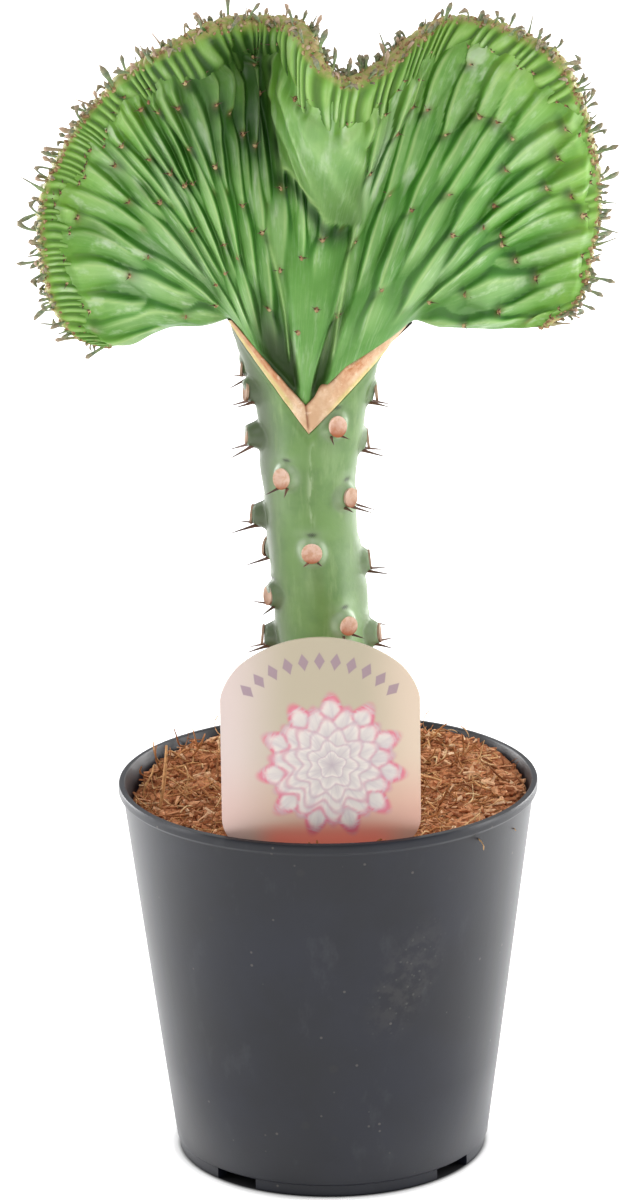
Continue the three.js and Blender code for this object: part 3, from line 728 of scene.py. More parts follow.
def stem_surface(across, along):
    angle = (across - 0.5) * 360
    row = along * STEM_ROWS
    bottom = STEM_STATIONS[0][2]
    surface_height = SOIL_LEVEL - 5
    share = np.clip((row - 1 - BURIED_ROWS) / (STEM_ROWS - 2 - BURIED_ROWS), 0, 1)
    buried = lerp(bottom, surface_height, np.clip((row - 1) / BURIED_ROWS, 0, 1))
    height = np.where(row <= 1 + BURIED_ROWS, buried, lerp(surface_height, stem_top(angle), share))
    points = stem_skin(height, angle)
    half_width = stem_at(height)[1]
    bump = np.zeros_like(angle)
    shoulder = np.zeros_like(angle)
    bud = np.zeros_like(angle)
    for scar_angle, scar_height, swell in LEAF_SCARS:
        aside = np.radians((angle - scar_angle + 180) % 360 - 180) * half_width
        above = height - scar_height
        distance = np.hypot(aside, above)
        cone = fall(TUBERCLE["top"], TUBERCLE["foot"], distance)
        rib, lid, slit = (soft_form(aside, above, form) for form in (SCAR_RIB, SCAR_LID, SCAR_SLIT))
        bump = np.maximum(bump, swell * (TUBERCLE["height"] * cone + 0.5 * rib) + 0.45 * lid)
        # Painted highlight on the shoulders round each scar and on the lid and rib beside it
        shoulder = np.maximum(shoulder, np.maximum(bell(distance - 3.5, 1.3), 0.55 * lid))
        shoulder = np.maximum(shoulder, 0.2 * rib)
        bud = np.maximum(bud, slit)
        bump -= 0.25 * slit
    twisted = angle - FLUTES["from"] + FLUTES["twist"] * (height - FLUTES["level"])
    flutes = FLUTES["depth"] * np.cos(np.radians(FLUTES["count"] * twisted))
    at_cut = fall(-4, -1, height - stem_top(angle))
    wave = 0.3 * rough(points, 9, 3.1)
    outward = unit(joined(np.sin(np.radians(angle)), -np.cos(np.radians(angle)), 0 * angle))
    points = points + outward * ((bump + flutes + wave) * at_cut)[:, None]
    from_scratches = np.radians(angle - SCRATCHED["angle"]) * half_width
    scratch = bell(from_scratches, SCRATCHED["width"]) * smooth(*SCRATCHED["fades in"], height)
    scratch = scratch * fall(*SCRATCHED["fades out"], height)
    # Painted shade on the stem's sides, the left more than the right, fading towards the back
    grey = (smooth(28, 70, -angle) + 0.45 * smooth(40, 80, angle)) * fall(105, 165, np.abs(angle))
    at_foot, at_top = row < 0.5, row > STEM_ROWS - 0.5
    points[at_foot, :2] = (stem_at(bottom)[0], 0)
    points[at_top, 1] = 0
    return points, {
        "shoulder": shoulder, "scratch": 0.5 * scratch * ~(at_foot | at_top),
        "bud": np.clip(1.4 * bud, 0, 1), "grey": grey,
    }


def make_stem():
    mesh = wrapped("rootstock", STEM_COLUMNS, STEM_ROWS, stem_surface)
    piece("rootstock", mesh, stem_finish(), ["rootstock_stem"])


def outward_at(angle, lift=0.0):
    turn = math.radians(angle)
    return Vector((math.sin(turn), -math.cos(turn), lift)).normalized()


def make_scars():
    """Cream discs with a dot in the middle, stained below and painted darker round their edges as shade, on
    the tops of the tubercles.
    """
    bm = bmesh.new()
    bmesh.ops.create_circle(bm, cap_ends=True, segments=20, radius=1)
    bm.faces.ensure_lookup_table()
    disc = bm.faces[0]
    for inset, lift in SCAR_STEPS:
        bmesh.ops.inset_region(bm, faces=[disc], thickness=inset, depth=0)
        bmesh.ops.translate(bm, verts=disc.verts, vec=(0, 0, lift))
    skirt = bmesh.ops.extrude_edge_only(bm, edges=[e for e in bm.edges if e.is_boundary])
    low = [v for v in skirt["geom"] if isinstance(v, bmesh.types.BMVert)]
    bmesh.ops.translate(bm, verts=low, vec=(0, 0, -SCAR_SKIRT))
    bmesh.ops.holes_fill(bm, edges=[e for e in bm.edges if e.is_boundary], sides=0)
    bmesh.ops.recalc_face_normals(bm, faces=bm.faces)
    template = mesh_of("scar", bm)
    home = coordinates(template)
    random = seeded(5)
    places = []
    for angle, height, swell in LEAF_SCARS:
        foot = stem_skin(height, angle, TUBERCLE["height"] * swell + SCAR_SIZE["proud"])
        half_width = SCAR_SIZE["half width"] + SCAR_SIZE["varies"] * random()
        half_height = SCAR_SIZE["half height"] + SCAR_SIZE["varies"] * random()
        size = (half_width, half_height, SCAR_SIZE["thickness"])
        places.append((0, aimed(foot, outward_at(angle, 0.1), 0.0, size), random()))
    mesh = stamped("leaf_scars", [template], places)
    copies = (coordinates(mesh) / MM).reshape(len(places), -1, 3)
    lowness = copies[:, :, 2].mean(axis=1, keepdims=True) - copies[:, :, 2]
    lots = np.array([shade for _, _, shade in places])[:, None]
    out = np.hypot(home[:, 0], home[:, 1])
    # Painted shade round each disc's edge, joined to the stain below it
    ring = np.tile(0.25 * smooth(0.85, 1.0, out), len(places))
    paint(mesh, "stain_and_edge_shade", np.maximum(smooth(0.8, 2.1, lowness + 0.9 * (lots - 0.5)).ravel(), ring))
    ages = [math.sin(math.radians(angle)) ** 2 for angle, _, _ in LEAF_SCARS]
    paint(mesh, "aged", np.repeat(ages, len(home)))
    paint(mesh, "middle", np.tile(bell(out, 0.2), len(places)))
    piece("leaf_scars", mesh, scar_finish(), crease=50)


def thorn_template(sides=7, rings=4):
    """A thorn of length 1 and foot radius 1 that swells at its foot and bends a little."""

    def shape(x, y, z):
        width = 0.02 + 0.55 * (1 - z) ** 0.8 + 0.45 * math.exp(-9 * z)
        return (x * width + 0.35 * z * z, y * width, z)

    return shaped("thorn", bar(sides, rings), shape)


def make_stem_thorns():
    """A pair of thorns below each scar, spread to the sides."""
    random = seeded(11)
    places = []
    for angle, height, swell in LEAF_SCARS:
        worn = 0.45 * max(0, math.cos(math.radians(angle))) ** 2
        for side in (-1, 1):
            spread = STEM_THORN["spread"] + STEM_THORN["more spread"] * random()
            way = outward_at(angle + side * (1 - worn) * spread)
            way.z = (1 - worn) * (-0.4 + 0.45 * random())
            way.normalize()
            length = STEM_THORN["length"] * (1 - worn) * (0.75 + 0.4 * random()) + STEM_THORN["sunk"]
            proud = TUBERCLE["height"] * swell - STEM_THORN["below skin"]
            foot = stem_skin(height - STEM_THORN["drop"], angle + side * STEM_THORN["aside"], proud)
            foot = Vector(foot) - way * STEM_THORN["sunk"]
            size = (STEM_THORN["radius"], STEM_THORN["radius"], length)
            places.append((0, aimed(foot, way, 6 * random(), size), random()))
    repeated("stem_thorns", [thorn_template()], places, thorn_finish())


# Callus between the two V cuts

CALLUS_PROUD = 0.8
CALLUS_COLUMNS = 170
CALLUS_RING = 12


def callus_surface(across, along):
    run = 2 * across
    low_x, low_z = on_cut(run, STOCK_V_RUN, STOCK_V)
    top_x, top_z = on_cut(run, CALLUS_TOP_RUN, CREST_V)
    ring = np.rint(along * (2 * CALLUS_RING + 1))
    front = ring <= CALLUS_RING
    level = np.where(front, ring / CALLUS_RING, (2 * CALLUS_RING + 1 - ring) / CALLUS_RING)
    last = ring > 2 * CALLUS_RING + 0.5
    front = front | last
    level = np.where(last, 0, level)
    level = lerp(0.03, 0.97, level)
    x, z = lerp(low_x, top_x, level), lerp(low_z, top_z, level)
    axis, half_width, half_depth = stem_at(z)
    side = np.where(front, -1.0, 1.0)
    rim = 1 - (2 * level - 1) ** 6
    seat = joined(x, side * half_depth, z)
    lumps = 0.45 * rough(seat, 4.5, 8.0) + 0.3 * rough(seat, 1.6, 2.0)
    proud = (CALLUS_PROUD + lumps) * (0.35 + 0.65 * rim)
    inside = np.clip((x - axis) / (half_width + proud), -1, 1)
    y = side * (half_depth + proud) * np.sqrt(1 - inside ** 2)
    ragged = 0.35 * rough(joined(x, y * 0 + side * 5, z * 0), 2.2, 5.0)
    steps = 1.5 * bell(run - 1.17, 0.06) + 1.3 * bell(run - 1.42, 0.06)
    z = z + ragged * (level - 0.3) + steps * smooth(0.5, 1, level)
    # Rust-brown above a yellow line on the left arm, and a rust patch and a yellow lower edge on the right
    rust = smooth(0.4, 0.62, level) * bell(run - 0.42, 0.36)
    rust = rust + smooth(0.3, 0.55, level) * bell(run - 1.52, 0.17)
    lime = bell(level - 0.25, 0.2) * fall(0.75, 0.9, run)
    lime = lime + fall(0.12, 0.28, level) * smooth(1.1, 1.35, run)
    return joined(x, y, z), {
        "edge": smooth(0.84, 0.97, level), "seam": bell(run - 1, 0.014) * smooth(0.1, 0.3, level),
        "rust": rust, "lime": lime, "arm": run, "height": level,
    }


def make_callus():
    mesh = wrapped("callus", CALLUS_COLUMNS, 2 * CALLUS_RING + 1, callus_surface)
    piece("callus", mesh, callus_finish(), ["graft_callus"])


# Crest, close to the measures of the solids

MARGIN_POINTS = [
    (-60, 0, 238.5), (-69, -3, 243), (-75, -6, 252), (-78, -6, 267), (-77, 0, 282.5),
    (-67, 5, 301), (-53, 2, 316), (-39, -3, 325.5), (-27, 3, 330), (-17, 9.5, 329.5),
    (-10, 7.5, 329.5), (-5.5, 0, 329.5), (-2.5, -7, 326.5), (1, -10.5, 320.5), (7, -8.5, 315.5),
    (16, -2, 317.5), (26, 4, 324.5), (35, 7, 329), (44, 4, 329), (56, -4, 326.5),
    (67, -7, 319), (74.5, -2, 300), (77.5, 4, 279), (75.5, 5, 262), (71.5, 0, 249.5),
    (62, -3, 243),
]
NOTCH = 0.529
CROWDING = 1.8
RADIAL_REACH = 0.45
RADIAL_LIFT = 16
EDGE_LIFT = 2
EDGE_LIFT_SPAN = 0.12
UNDULATION_POWER = 1.7
CREASE = {"at": 0.4, "spread": 0.036, "depth": 8.5, "from": 0.45}
HALF_DEPTH = {"at V": 12.8, "at margin": 3.3}
MARGIN_ROUNDING = 0.95
ROWS = 46
# The rows crowd over the left lobe's top: the stretch of the margin, and the share of the rows moved there
CROWDED = {"from": 0.18, "to": 0.43, "share": 0.14}
# Length of a leaf base in the left lobe and in the right lobe
LEAF_BASE = {"left": 25.0, "right": 22.5}
TIER_START = np.array([0.05, 0.22, 0.47])
TOOTH_HEIGHT = 2.9
# How far a leaf base's node lies inwards of the tooth's end, in teeth
NODE_SET_BACK = 0.11
# Where the comb of ribs along the margin starts, as (along the margin, share of the way out)
COMB_START = [
    (0, 0.87), (0.15, 0.88), (0.3, 0.885), (0.44, 0.9), (0.49, 0.85), (0.58, 0.84), (0.64, 0.89),
    (0.74, 0.9), (0.8, 0.952), (1, 0.945),
]
# How many ribs there are up to each place along the margin
RIB_COUNTS = [(0, 0), (0.25, 38), (0.36, 50), (0.7, 82), (1, 112)]
RIB_HEIGHT = 0.95
WEDGE_HEIGHT = 1.4
HOLLOW_DEPTH = 3.8
# Thin raised lines that run outwards beside the wedge: where along the margin, low down and higher up
RAISED_LINES = [(0.463, 0.408), (0.588, 0.578)]
LINE_HEIGHT = 1.5
# A plain flap below the notch: its lower edge, as (along the margin, share of the way out), and its
# right edge the other way round
FLAP_LOW = [(0.41, 0.6), (0.443, 0.61), (0.51, 0.595), (0.56, 0.52), (0.598, 0.45)]
FLAP_RIGHT = [(0.45, 0.598), (0.61, 0.578), (0.84, 0.557)]
FLAP_LEFT = 0.436
FLAP_HEIGHT = 2.0
FLAP_FOLD = {"width": 0.036, "slant": 0.3, "height": 1.0}
GAP_DEPTH = 2.5
# Painted shade on the left lobe's top beside the fold, the part of it that is painted dimmer, and the right
# top,
# painted lighter with darker gaps: place and spread along the margin
FOLD_SHADE = (0.345, 0.08)
DIM = (0.36, 0.06)
LIT_RIGHT_TOP = (0.66, 0.075)
# Deep shadows beside the fold: place, spread and strength of each
GAPS = [
    (0.428, 0.665, 0.011, 0.06, 1.0), (0.429, 0.865, 0.013, 0.045, 0.95),
    (0.37, 0.72, 0.015, 0.075, 0.95), (0.376, 0.86, 0.011, 0.045, 0.9),
    (0.345, 0.655, 0.018, 0.04, 0.6), (0.135, 0.73, 0.008, 0.1, 0.5), (0.222, 0.62, 0.01, 0.05, 0.7),
    (0.292, 0.67, 0.014, 0.06, 0.5), (0.705, 0.69, 0.008, 0.07, 0.5), (0.66, 0.33, 0.012, 0.06, 0.35),
]
# Patches where the skin carries a whitish bloom with a painted sheen, in the same way
BLOOM_AND_SHEEN = [
    (0.212, 0.78, 0.015, 0.07, 0.8), (0.26, 0.58, 0.014, 0.1, 0.9), (0.085, 0.55, 0.02, 0.1, 0.8),
    (0.2, 0.3, 0.035, 0.14, 0.7), (0.595, 0.66, 0.018, 0.14, 1.0), (0.777, 0.75, 0.01, 0.1, 0.5),
    (0.935, 0.6, 0.015, 0.12, 0.4), (0.955, 0.4, 0.02, 0.16, 0.4), (0.82, 0.25, 0.03, 0.1, 0.5),
    (0.34, 0.76, 0.008, 0.06, 0.5), (0.905, 0.8, 0.015, 0.08, 0.4), (0.15, 0.42, 0.02, 0.12, 0.5),
    (0.52, 0.8, 0.045, 0.12, 0.45),
]

margin_samples = curve_samples(MARGIN_POINTS)
margin_run = np.concatenate([[0], np.cumsum(np.linalg.norm(np.diff(margin_samples, axis=0), axis=1))])
MARGIN_LENGTH = margin_run[-1]


def margin(u):
    run = np.clip(u, 0, 1) * MARGIN_LENGTH
    return np.stack([np.interp(run, margin_run, margin_samples[:, k]) for k in range(3)], axis=-1)


def row_run(u):
    """Place along the margin counted in rows of leaf bases, from 0 to 1."""
    return lerp(u, smooth(CROWDED["from"], CROWDED["to"], u), CROWDED["share"])


margin_spots = np.linspace(0, 1, 1001)
row_spots = row_run(margin_spots)


def at_row(run):
    """Place along the margin of a share of the rows."""
    return np.interp(run, row_spots, margin_spots)


def cut_point(u):
    """Points of the crest's cut, u running from the left end of the V to the right end."""
    before = np.clip(u / NOTCH, 0, 1) ** CROWDING
    after = 1 - np.clip((1 - u) / (1 - NOTCH), 0, 1) ** CROWDING
    run = np.where(u < NOTCH, before, 1 + after)
    x, z = on_cut(run, CREST_V_RUN, CREST_V)
    return joined(x, 0 * x, z)


def comb_start(u):
    """Where the comb of ribs starts on the whole."""
    return np.interp(u, *zip(*COMB_START))


def comb_edge(u):
    """Where the comb starts, before each rib's own length: its edge wanders."""
    return comb_start(u) + 0.016 * np.sin(47 * u + 1) + 0.012 * np.sin(109 * u + 4)


row_numbers = np.arange(ROWS)
row_places = at_row((row_numbers + 0.5) / ROWS)
row_lengths = np.linalg.norm(margin(row_places) - cut_point(row_places), axis=-1)
row_heads = comb_start(row_places)
row_tier = np.where(row_numbers % 2 == 0, 2, np.where(row_numbers % 4 == 1, 0, 1))
crest_chance = np.random.default_rng(7)
# Where along a leaf base each row starts, so that neighbours lie like bricks
row_phase = np.select(
    [row_tier == 0, row_tier == 1], [0.0, 0.5], crest_chance.choice([0.25, 0.75], ROWS),
) + crest_chance.uniform(-0.12, 0.12, ROWS)
row_pitch = np.where(row_places < 0.42, LEAF_BASE["left"], LEAF_BASE["right"]) / row_lengths
row_pitch = row_pitch * crest_chance.uniform(0.86, 1.14, ROWS)
row_drop = np.interp(row_places, [0, 0.26, 0.34, 0.42, 0.46], [0.62, 0.62, 0.5, 0.45, 0.6])
# The steep side of each leaf base faces the top of the crest, so it turns over at the notch
row_lean = np.where(row_places < NOTCH - 0.03, -1.0, 1.0)
row_shift = crest_chance.uniform(-0.17, 0.17, ROWS)
row_width = crest_chance.uniform(0.88, 1.16, ROWS)
row_swing = crest_chance.uniform(0, 2 * math.pi, ROWS)
blade_size = crest_chance.uniform(0.7, 1.15, (ROWS, 8))
blade_lot = crest_chance.uniform(0, 1, (ROWS, 8))
RIBS = RIB_COUNTS[-1][1]
rib_size = crest_chance.uniform(0.5, 1.0, RIBS + 1)
rib_reach = crest_chance.uniform(-0.04, 0.03, RIBS + 1)
rib_lot = crest_chance.uniform(0, 1, RIBS + 1)


def sag(u, v):
    """How far the crest's lower edges hang below plain arcs, at the left and at the right."""
    at_left = 1.2 * bell(v - 0.2, 0.18) - 0.6 * bell(v - 0.5, 0.1) + 1.4 * bell(v - 0.8, 0.1)
    at_right = 2.2 * smooth(0, 0.25, v) * fall(0.6, 0.95, v) + 0.5 * bell(v - 0.85, 0.08)
    return at_left * fall(0, 0.1, u) + at_right * smooth(0.9, 1, u)


def middle(u, v):
    """The crest's middle surface: u along the margin, v from the cut to the margin."""
    u, v = np.clip(u, 0, 1), np.clip(v, 0, 1)
    cut, rim = cut_point(u), margin(u)
    edge = np.minimum(u, 1 - u)
    spread = np.minimum(1, np.abs(rim[..., 0] - cut[..., 0]) / 50)
    lift = lerp(EDGE_LIFT, RADIAL_LIFT, smooth(0, EDGE_LIFT_SPAN, edge)) * spread
    bend = lerp(cut, rim, RADIAL_REACH)
    bend[..., 2] += lift
    share = v[..., None]
    point = (1 - share) ** 2 * cut + 2 * share * (1 - share) * bend + share ** 2 * rim
    crease = CREASE["depth"] * bell(u - CREASE["at"], CREASE["spread"])
    fading = smooth(CREASE["from"], 0.8, v) * fall(0.85, 1, v)
    point[..., 1] = rim[..., 1] * v ** UNDULATION_POWER + crease * fading
    point[..., 2] -= sag(u, v)
    return point


def front_normal(u, v):
    """Out of the crest's front: straight forward near the V, square to the skin further out."""
    step = 1e-3
    along = middle(u + step, v) - middle(u - step, v)
    outward = middle(u, v + step) - middle(u, v - step)
    square = unit(np.cross(along, outward))
    return unit(lerp(np.array([0.0, -1.0, 0.0]), square, smooth(0.5, 0.9, v)[..., None]))


def half_depth_at(u, v):
    rounding = lerp(0.5, 0.07, smooth(0, 0.5, v))
    inward = 1 - np.minimum(1, np.minimum(u, 1 - u) / rounding)
    half_width = (CREST_V[3][0] - CREST_V[0][0]) / 2
    from_ends = np.minimum(1, np.abs(cut_point(u)[..., 0] - CREST_V[0][0] - half_width) / half_width)
    at_v, at_sides = np.sqrt(1 - from_ends ** 2), np.sqrt(np.maximum(0, 1 - inward ** 2))
    at_margin = np.maximum(0, (v - MARGIN_ROUNDING) / (1 - MARGIN_ROUNDING))
    full = lerp(HALF_DEPTH["at V"], HALF_DEPTH["at margin"], smooth(0, 0.8, v))
    return full * lerp(at_v, at_sides, smooth(0, 0.3, v)) * np.sqrt(np.maximum(0, 1 - at_margin ** 2))


def row_centre(row, v):
    """Where a row of leaf bases runs, in rows: each wanders a little."""
    return row + 0.5 + row_shift[row] + 0.2 * np.sin(8 * v + row_swing[row])


def teeth_from_head(row, v):
    return (row_heads[row] - v) / row_pitch[row] - row_phase[row] - NODE_SET_BACK


def reach_at(v):
    """Half width of a leaf base, in rows, where only some rows have started."""
    return 2.2 - 1.05 * smooth(0.16, 0.32, v) - 0.5 * smooth(0.44, 0.62, v)


def rib_run(u):
    """Place along the margin counted in ribs of the comb, which wander a little."""
    return np.interp(u, *zip(*RIB_COUNTS)) + 0.4 * np.sin(61 * u) + 0.33 * np.sin(163 * u + 2)


def rib_start(u):
    """Where the rib at u starts."""
    return comb_edge(u) + rib_reach[np.clip(rib_run(u).astype(int), 0, RIBS)]


def past_wedge(u, v):
    """How far a point lies beyond the left and the right side of the plain wedge over the V's tip."""
    centre = lerp(0.524, 0.497, smooth(0, 0.4, v))
    half_width = lerp(0.012, 0.07, smooth(0, 0.35, v))
    return centre - half_width - u, u - centre - half_width


def blades(u, v):
    """The leaf bases: height and painted light from 0 to 1, painted highlights along their edges, lots,
    nodes and painted shadows in the pockets by the nodes.
    """
    node, pocket_shadow, rim, lot = (np.zeros_like(u) for _ in range(4))
    total = np.full_like(u, 1e-8)
    light = 0.5 * total
    run = row_run(u) * ROWS
    wedge = fall(-0.02, 0.02, np.maximum(*past_wedge(u, v))) * fall(0.36, 0.52, v)
    for offset in range(-3, 4):
        row = np.clip(np.floor(run).astype(int) + offset, 0, ROWS - 1)
        start = TIER_START[row_tier[row]]
        started = smooth(start - 0.02, start + 0.12, v) * (1 - wedge)
        from_head = teeth_from_head(row, v)
        tooth = np.floor(from_head)
        share = 1 - (from_head - tooth)
        tooth = np.clip(tooth, 0, 7).astype(int)
        size = blade_size[row, tooth]
        taper = 0.6 + 0.4 * smooth(0, 0.4, share) - 0.34 * smooth(0.65, 1, share)
        width = row_width[row] * reach_at(v) * taper
        aside = (run - row_centre(row, v)) / width * row_lean[row]
        steep = fall(0.32, 1.0, -aside)
        gentle = 1 - 0.6 * smooth(-0.25, 1.0, aside) - 0.4 * smooth(0.7, 1.15, aside)
        tall = smooth(-0.03, 0.07, share) * fall(0.25, 1, share)
        this = lerp(1 - row_drop[row], 1, tall) * steep * gentle * lerp(1, size, tall) * started
        weight = np.maximum(this, 0) ** 5
        total += weight
        # Painted light: the steep side of each leaf base in shade, the gentle side lit, dimmer at its outer
        # end
        flank_light = 1 - 0.95 * smooth(0.28, 0.66, -aside) - 0.55 * smooth(-0.1, 0.9, aside)
        this_light = flank_light * (1 - 0.3 * smooth(0.55, 1, share)) * (0.7 + 0.3 * smooth(0, 0.06, share))
        light += weight * lerp(0.5, this_light, started)
        lot += weight * blade_lot[row, tooth]
        # A painted highlight along the leaf base's steep edge
        this_highlight = bell(aside + 0.27, 0.1) * smooth(0.01, 0.12, share) * (1 - 0.75 * smooth(0.55, 1, share))
        rim += weight * this_highlight * started
        at_end = bell(np.minimum(share, 1 - share), 0.045) * bell(aside * width, 0.2)
        node = np.maximum(node, at_end * started)
        # A painted shadow in the pocket beside each node
        at_node = bell(share - 0.95, 0.08) * bell((aside + 0.45) * width, 0.34)
        pocket_shadow = np.maximum(pocket_shadow, at_node * started)
    return total ** 0.2, light / total, rim / total, lot / total, node, pocket_shadow


def flap(u, v):
    """The plain flap: how far a point lies on it, a painted highlight along its lower edge and the painted
    shadow under that.
    """
    above = v - np.interp(u, *zip(*FLAP_LOW))
    from_right = np.interp(v, *zip(*FLAP_RIGHT)) - u
    within = smooth(-0.003, 0.006, np.minimum(u - FLAP_LEFT, from_right)) * fall(0.78, 0.85, v)
    on = smooth(-0.008, 0.008, above) * within
    edge = bell(above - 0.004, 0.008) * within * fall(0.5, 0.55, u)
    shadow = bell(above + 0.03, 0.035) * (1 - on) * smooth(0.40, 0.43, u) * fall(0.55, 0.6, u)
    return on, edge, shadow


def patches_of(places, u, v):
    """Soft patches, the strongest at each point."""
    found = np.zeros_like(u)
    for at, out, aside, along, strength in places:
        found = np.maximum(found, strength * bell(u - at, aside) * bell(v - out, along))
    return found


def dim_at(u):
    """How far the left lobe's top lies in the shade of the fold."""
    return bell(u - DIM[0], DIM[1])


def wedge_at(u, v):
    """The plain wedge over the V's tip, and how deep the hollows on both sides of it lie."""
    left, right = past_wedge(u, v)
    wedge = fall(-0.025, 0.008, np.maximum(left, right)) * fall(0.3, 0.5, v)
    wide = lerp(0.25, 0.12, smooth(0, 0.3, v))
    hollow = smooth(0, 0.03, left) * fall(0.5, 1, left / wide) * fall(0.08, 0.34, v)
    hollow += 0.85 * smooth(0, 0.012, right) * fall(0.03, 0.06, right) * fall(0.12, 0.4, v)
    return wedge, hollow


def raised_line(u, v):
    line = sum(bell(u - np.interp(v, [0.05, 0.4], ends), 0.0055) for ends in RAISED_LINES)
    return line * (smooth(0.06, 0.1, v) * fall(0.36, 0.55, v))


def flap_folds(u, v):
    """Soft folds that run down the flap, from 0 to 1."""
    across = u - FLAP_FOLD["slant"] * (0.75 - v)
    return (0.5 + 0.5 * np.sin(2 * math.pi * across / FLAP_FOLD["width"])) ** 2


def relief(u, v, front):
    """Height of everything raised on the crest's skin, and what is painted with it.

    front is 1 on the front and 0 on the back, which has no flap and no shaded fold.
    """
    height, light, rim, lot, node, pocket_shadow = blades(u, v)
    bare = fall(-0.035, 0.01, v - comb_edge(u))
    low = fall(0.02, 0.14, v)
    on_flap, flap_highlight, flap_shadow = (part * front for part in flap(u, v))
    off_flap = 1 - on_flap
    wedge, hollow = wedge_at(u, v)
    line = raised_line(u, v)
    folds = flap_folds(u, v)
    gaps = patches_of(GAPS, u, v) * off_flap * front

    folded = FLAP_HEIGHT + FLAP_FOLD["height"] * folds
    raised = lerp(TOOTH_HEIGHT * height * (1 - low), folded, on_flap) * bare
    raised += WEDGE_HEIGHT * wedge * smooth(0, 0.06, v)
    raised -= HOLLOW_DEPTH * hollow * smooth(0, 0.03, v) - LINE_HEIGHT * line
    raised -= GAP_DEPTH * gaps
    raised *= smooth(0, 0.03, np.minimum(u, 1 - u))

    # Painted light and shade: a lighter left side and a lighter right top
    lit_left_side = fall(0.18, 0.28, u)
    lit_right_top = bell(u - LIT_RIGHT_TOP[0], LIT_RIGHT_TOP[1]) * smooth(0.5, 0.8, v)
    # Painted shade in the fold and on the left lobe's top beside it, less where the skin is lit
    fold_shade = bell(u - CREASE["at"], 0.034) * smooth(0.48, 0.72, v) * (1 - 0.5 * smooth(0.93, 0.98, v))
    shade = 0.85 * bell(u - FOLD_SHADE[0], FOLD_SHADE[1]) * smooth(0.42, 0.7, v)
    # Painted shade in the pockets, the fold, the gaps, the hollows and under the flap's edge, with darker
    # gaps on the right top
    dark = 0.8 * pocket_shadow * bare + front * (fold_shade * (1 - 0.4 * light) + shade * (1 - 0.5 * light))
    dark = lerp(np.maximum(dark, gaps), 0.45 * fall(0.48, 0.7, v) * (1 - 0.6 * folds), on_flap)
    dark = np.maximum(dark + 0.65 * hollow * (1 - 0.7 * line), flap_shadow)
    dark = dark + 0.3 * lit_right_top * fall(0.05, 0.35, light) * off_flap
    # Painted highlights on the leaf bases' edges, the raised lines and the flap's lower edge, brighter on
    # the right top and dimmer at the far right
    rim = np.maximum(rim * off_flap, np.maximum(0.7 * line, flap_highlight))
    rim = np.clip(rim * (1 + 0.8 * lit_right_top), 0, 1) * bare * (1 - 0.3 * smooth(0.72, 0.8, u))
    # Painted light: dimmer in the fold's shade and at the far right, brighter on the right top and the left
    # side
    ridge = np.maximum(light, 0.6 * np.maximum(wedge, low))
    ridge = ridge * (1 - 0.3 * front * dim_at(u) * smooth(0.5, 0.75, v)) * (1 - 0.15 * smooth(0.7, 0.78, u))
    ridge = ridge + 0.75 * lit_right_top * smooth(0.2, 0.6, light) + 0.06 * lit_left_side
    ridge = lerp(ridge, 0.55 + 0.45 * folds * smooth(0.5, 0.7, v), on_flap)
    return raised, {
        "ridge": np.clip(ridge, 0, 1), "rim": rim, "lot": lerp(0.5, lot, (1 - wedge) * off_flap),
        "node": np.clip(node * bare * off_flap, 0, 1),
        "dark": np.clip(dark * lerp(1, 0.55, lit_left_side), 0, 1),
        "deep": np.clip(hollow * (1 - line) * fall(0.06, 0.24, v), 0, 1),
        "bloom": patches_of(BLOOM_AND_SHEEN, u, v), "olive": on_flap * fall(0.62, 0.76, v),
    }


def skin(u, v, side):
    """Points on the crest's skin, side 1 on the front and -1 on the back."""
    raised = relief(u, v, side > 0)[0]
    return middle(u, v) + front_normal(u, v) * (side * (half_depth_at(u, v) + raised))[..., None]


CREST_COLUMNS = 528
# How many rows of faces lie between these shares of the way from the V to the margin
CREST_LEVELS = [(0, 0), (10, 0.16), (33, 0.5), (78, 0.93), (90, 1)]
FACE_ROWS = CREST_LEVELS[-1][0]


def both_faces(along, rows):
    """Face row, counted from the inner edge, and side of a grid that wraps round the margin."""
    ring = np.rint(along * (2 * rows + 1))
    level = np.maximum(np.where(ring <= rows, ring, 2 * rows - ring), 0)
    return level, np.where((ring <= rows) | (ring > 2 * rows + 0.5), 1.0, -1.0)


def crest_surface(across, along):
    u = at_row(across)
    level, side = both_faces(along, FACE_ROWS)
    v = np.interp(level, *zip(*CREST_LEVELS))
    raised, paints = relief(u, v, side > 0)
    inner = middle(u, v)
    calm = smooth(0.05, 0.3, v) * smooth(0, 0.04, np.minimum(u, 1 - u)) * fall(0.9, 1, v)
    depth = half_depth_at(u, v) + raised + 0.35 * rough(inner, 7, 4.0) * calm
    points = inner + front_normal(u, v) * (side * depth)[:, None]
    paints.update(radial=v, row=row_run(u) * ROWS, face=side * 4, wool=0 * v)
    return points, paints


def make_crest():
    mesh = wrapped("crest_skin", CREST_COLUMNS, 2 * FACE_ROWS + 1, crest_surface)
    piece("crest_skin", mesh, crest_finish(), ["crest"])


COMB_COLUMNS = 1120
COMB_ROWS = 18
COMB_WIDTH = 0.07


def comb(u, v):
    """The ribs along the margin: height above the crest's skin, how lit, how near a gap, and lot."""
    run = rib_run(u) + 0.35 * np.sin(17 * v + 9 * u)
    rib = np.clip(run.astype(int), 0, RIBS)
    size = rib_size[rib] * (1 - 0.7 * smooth(0.75, 0.83, u))
    aside = 2 * np.abs(run - np.floor(run) - 0.5)
    past = v - comb_edge(u) - rib_reach[rib]
    shown = smooth(-0.03, 0.02, past)
    top = fall(0.1, 0.9, aside) * smooth(-0.005, 0.03, past) * (1 - 0.75 * smooth(0.95, 1, v))
    return lerp(-0.7, 0.12 + RIB_HEIGHT * size * top, shown), top * lerp(0.6, 1, size), aside, rib_lot[rib]


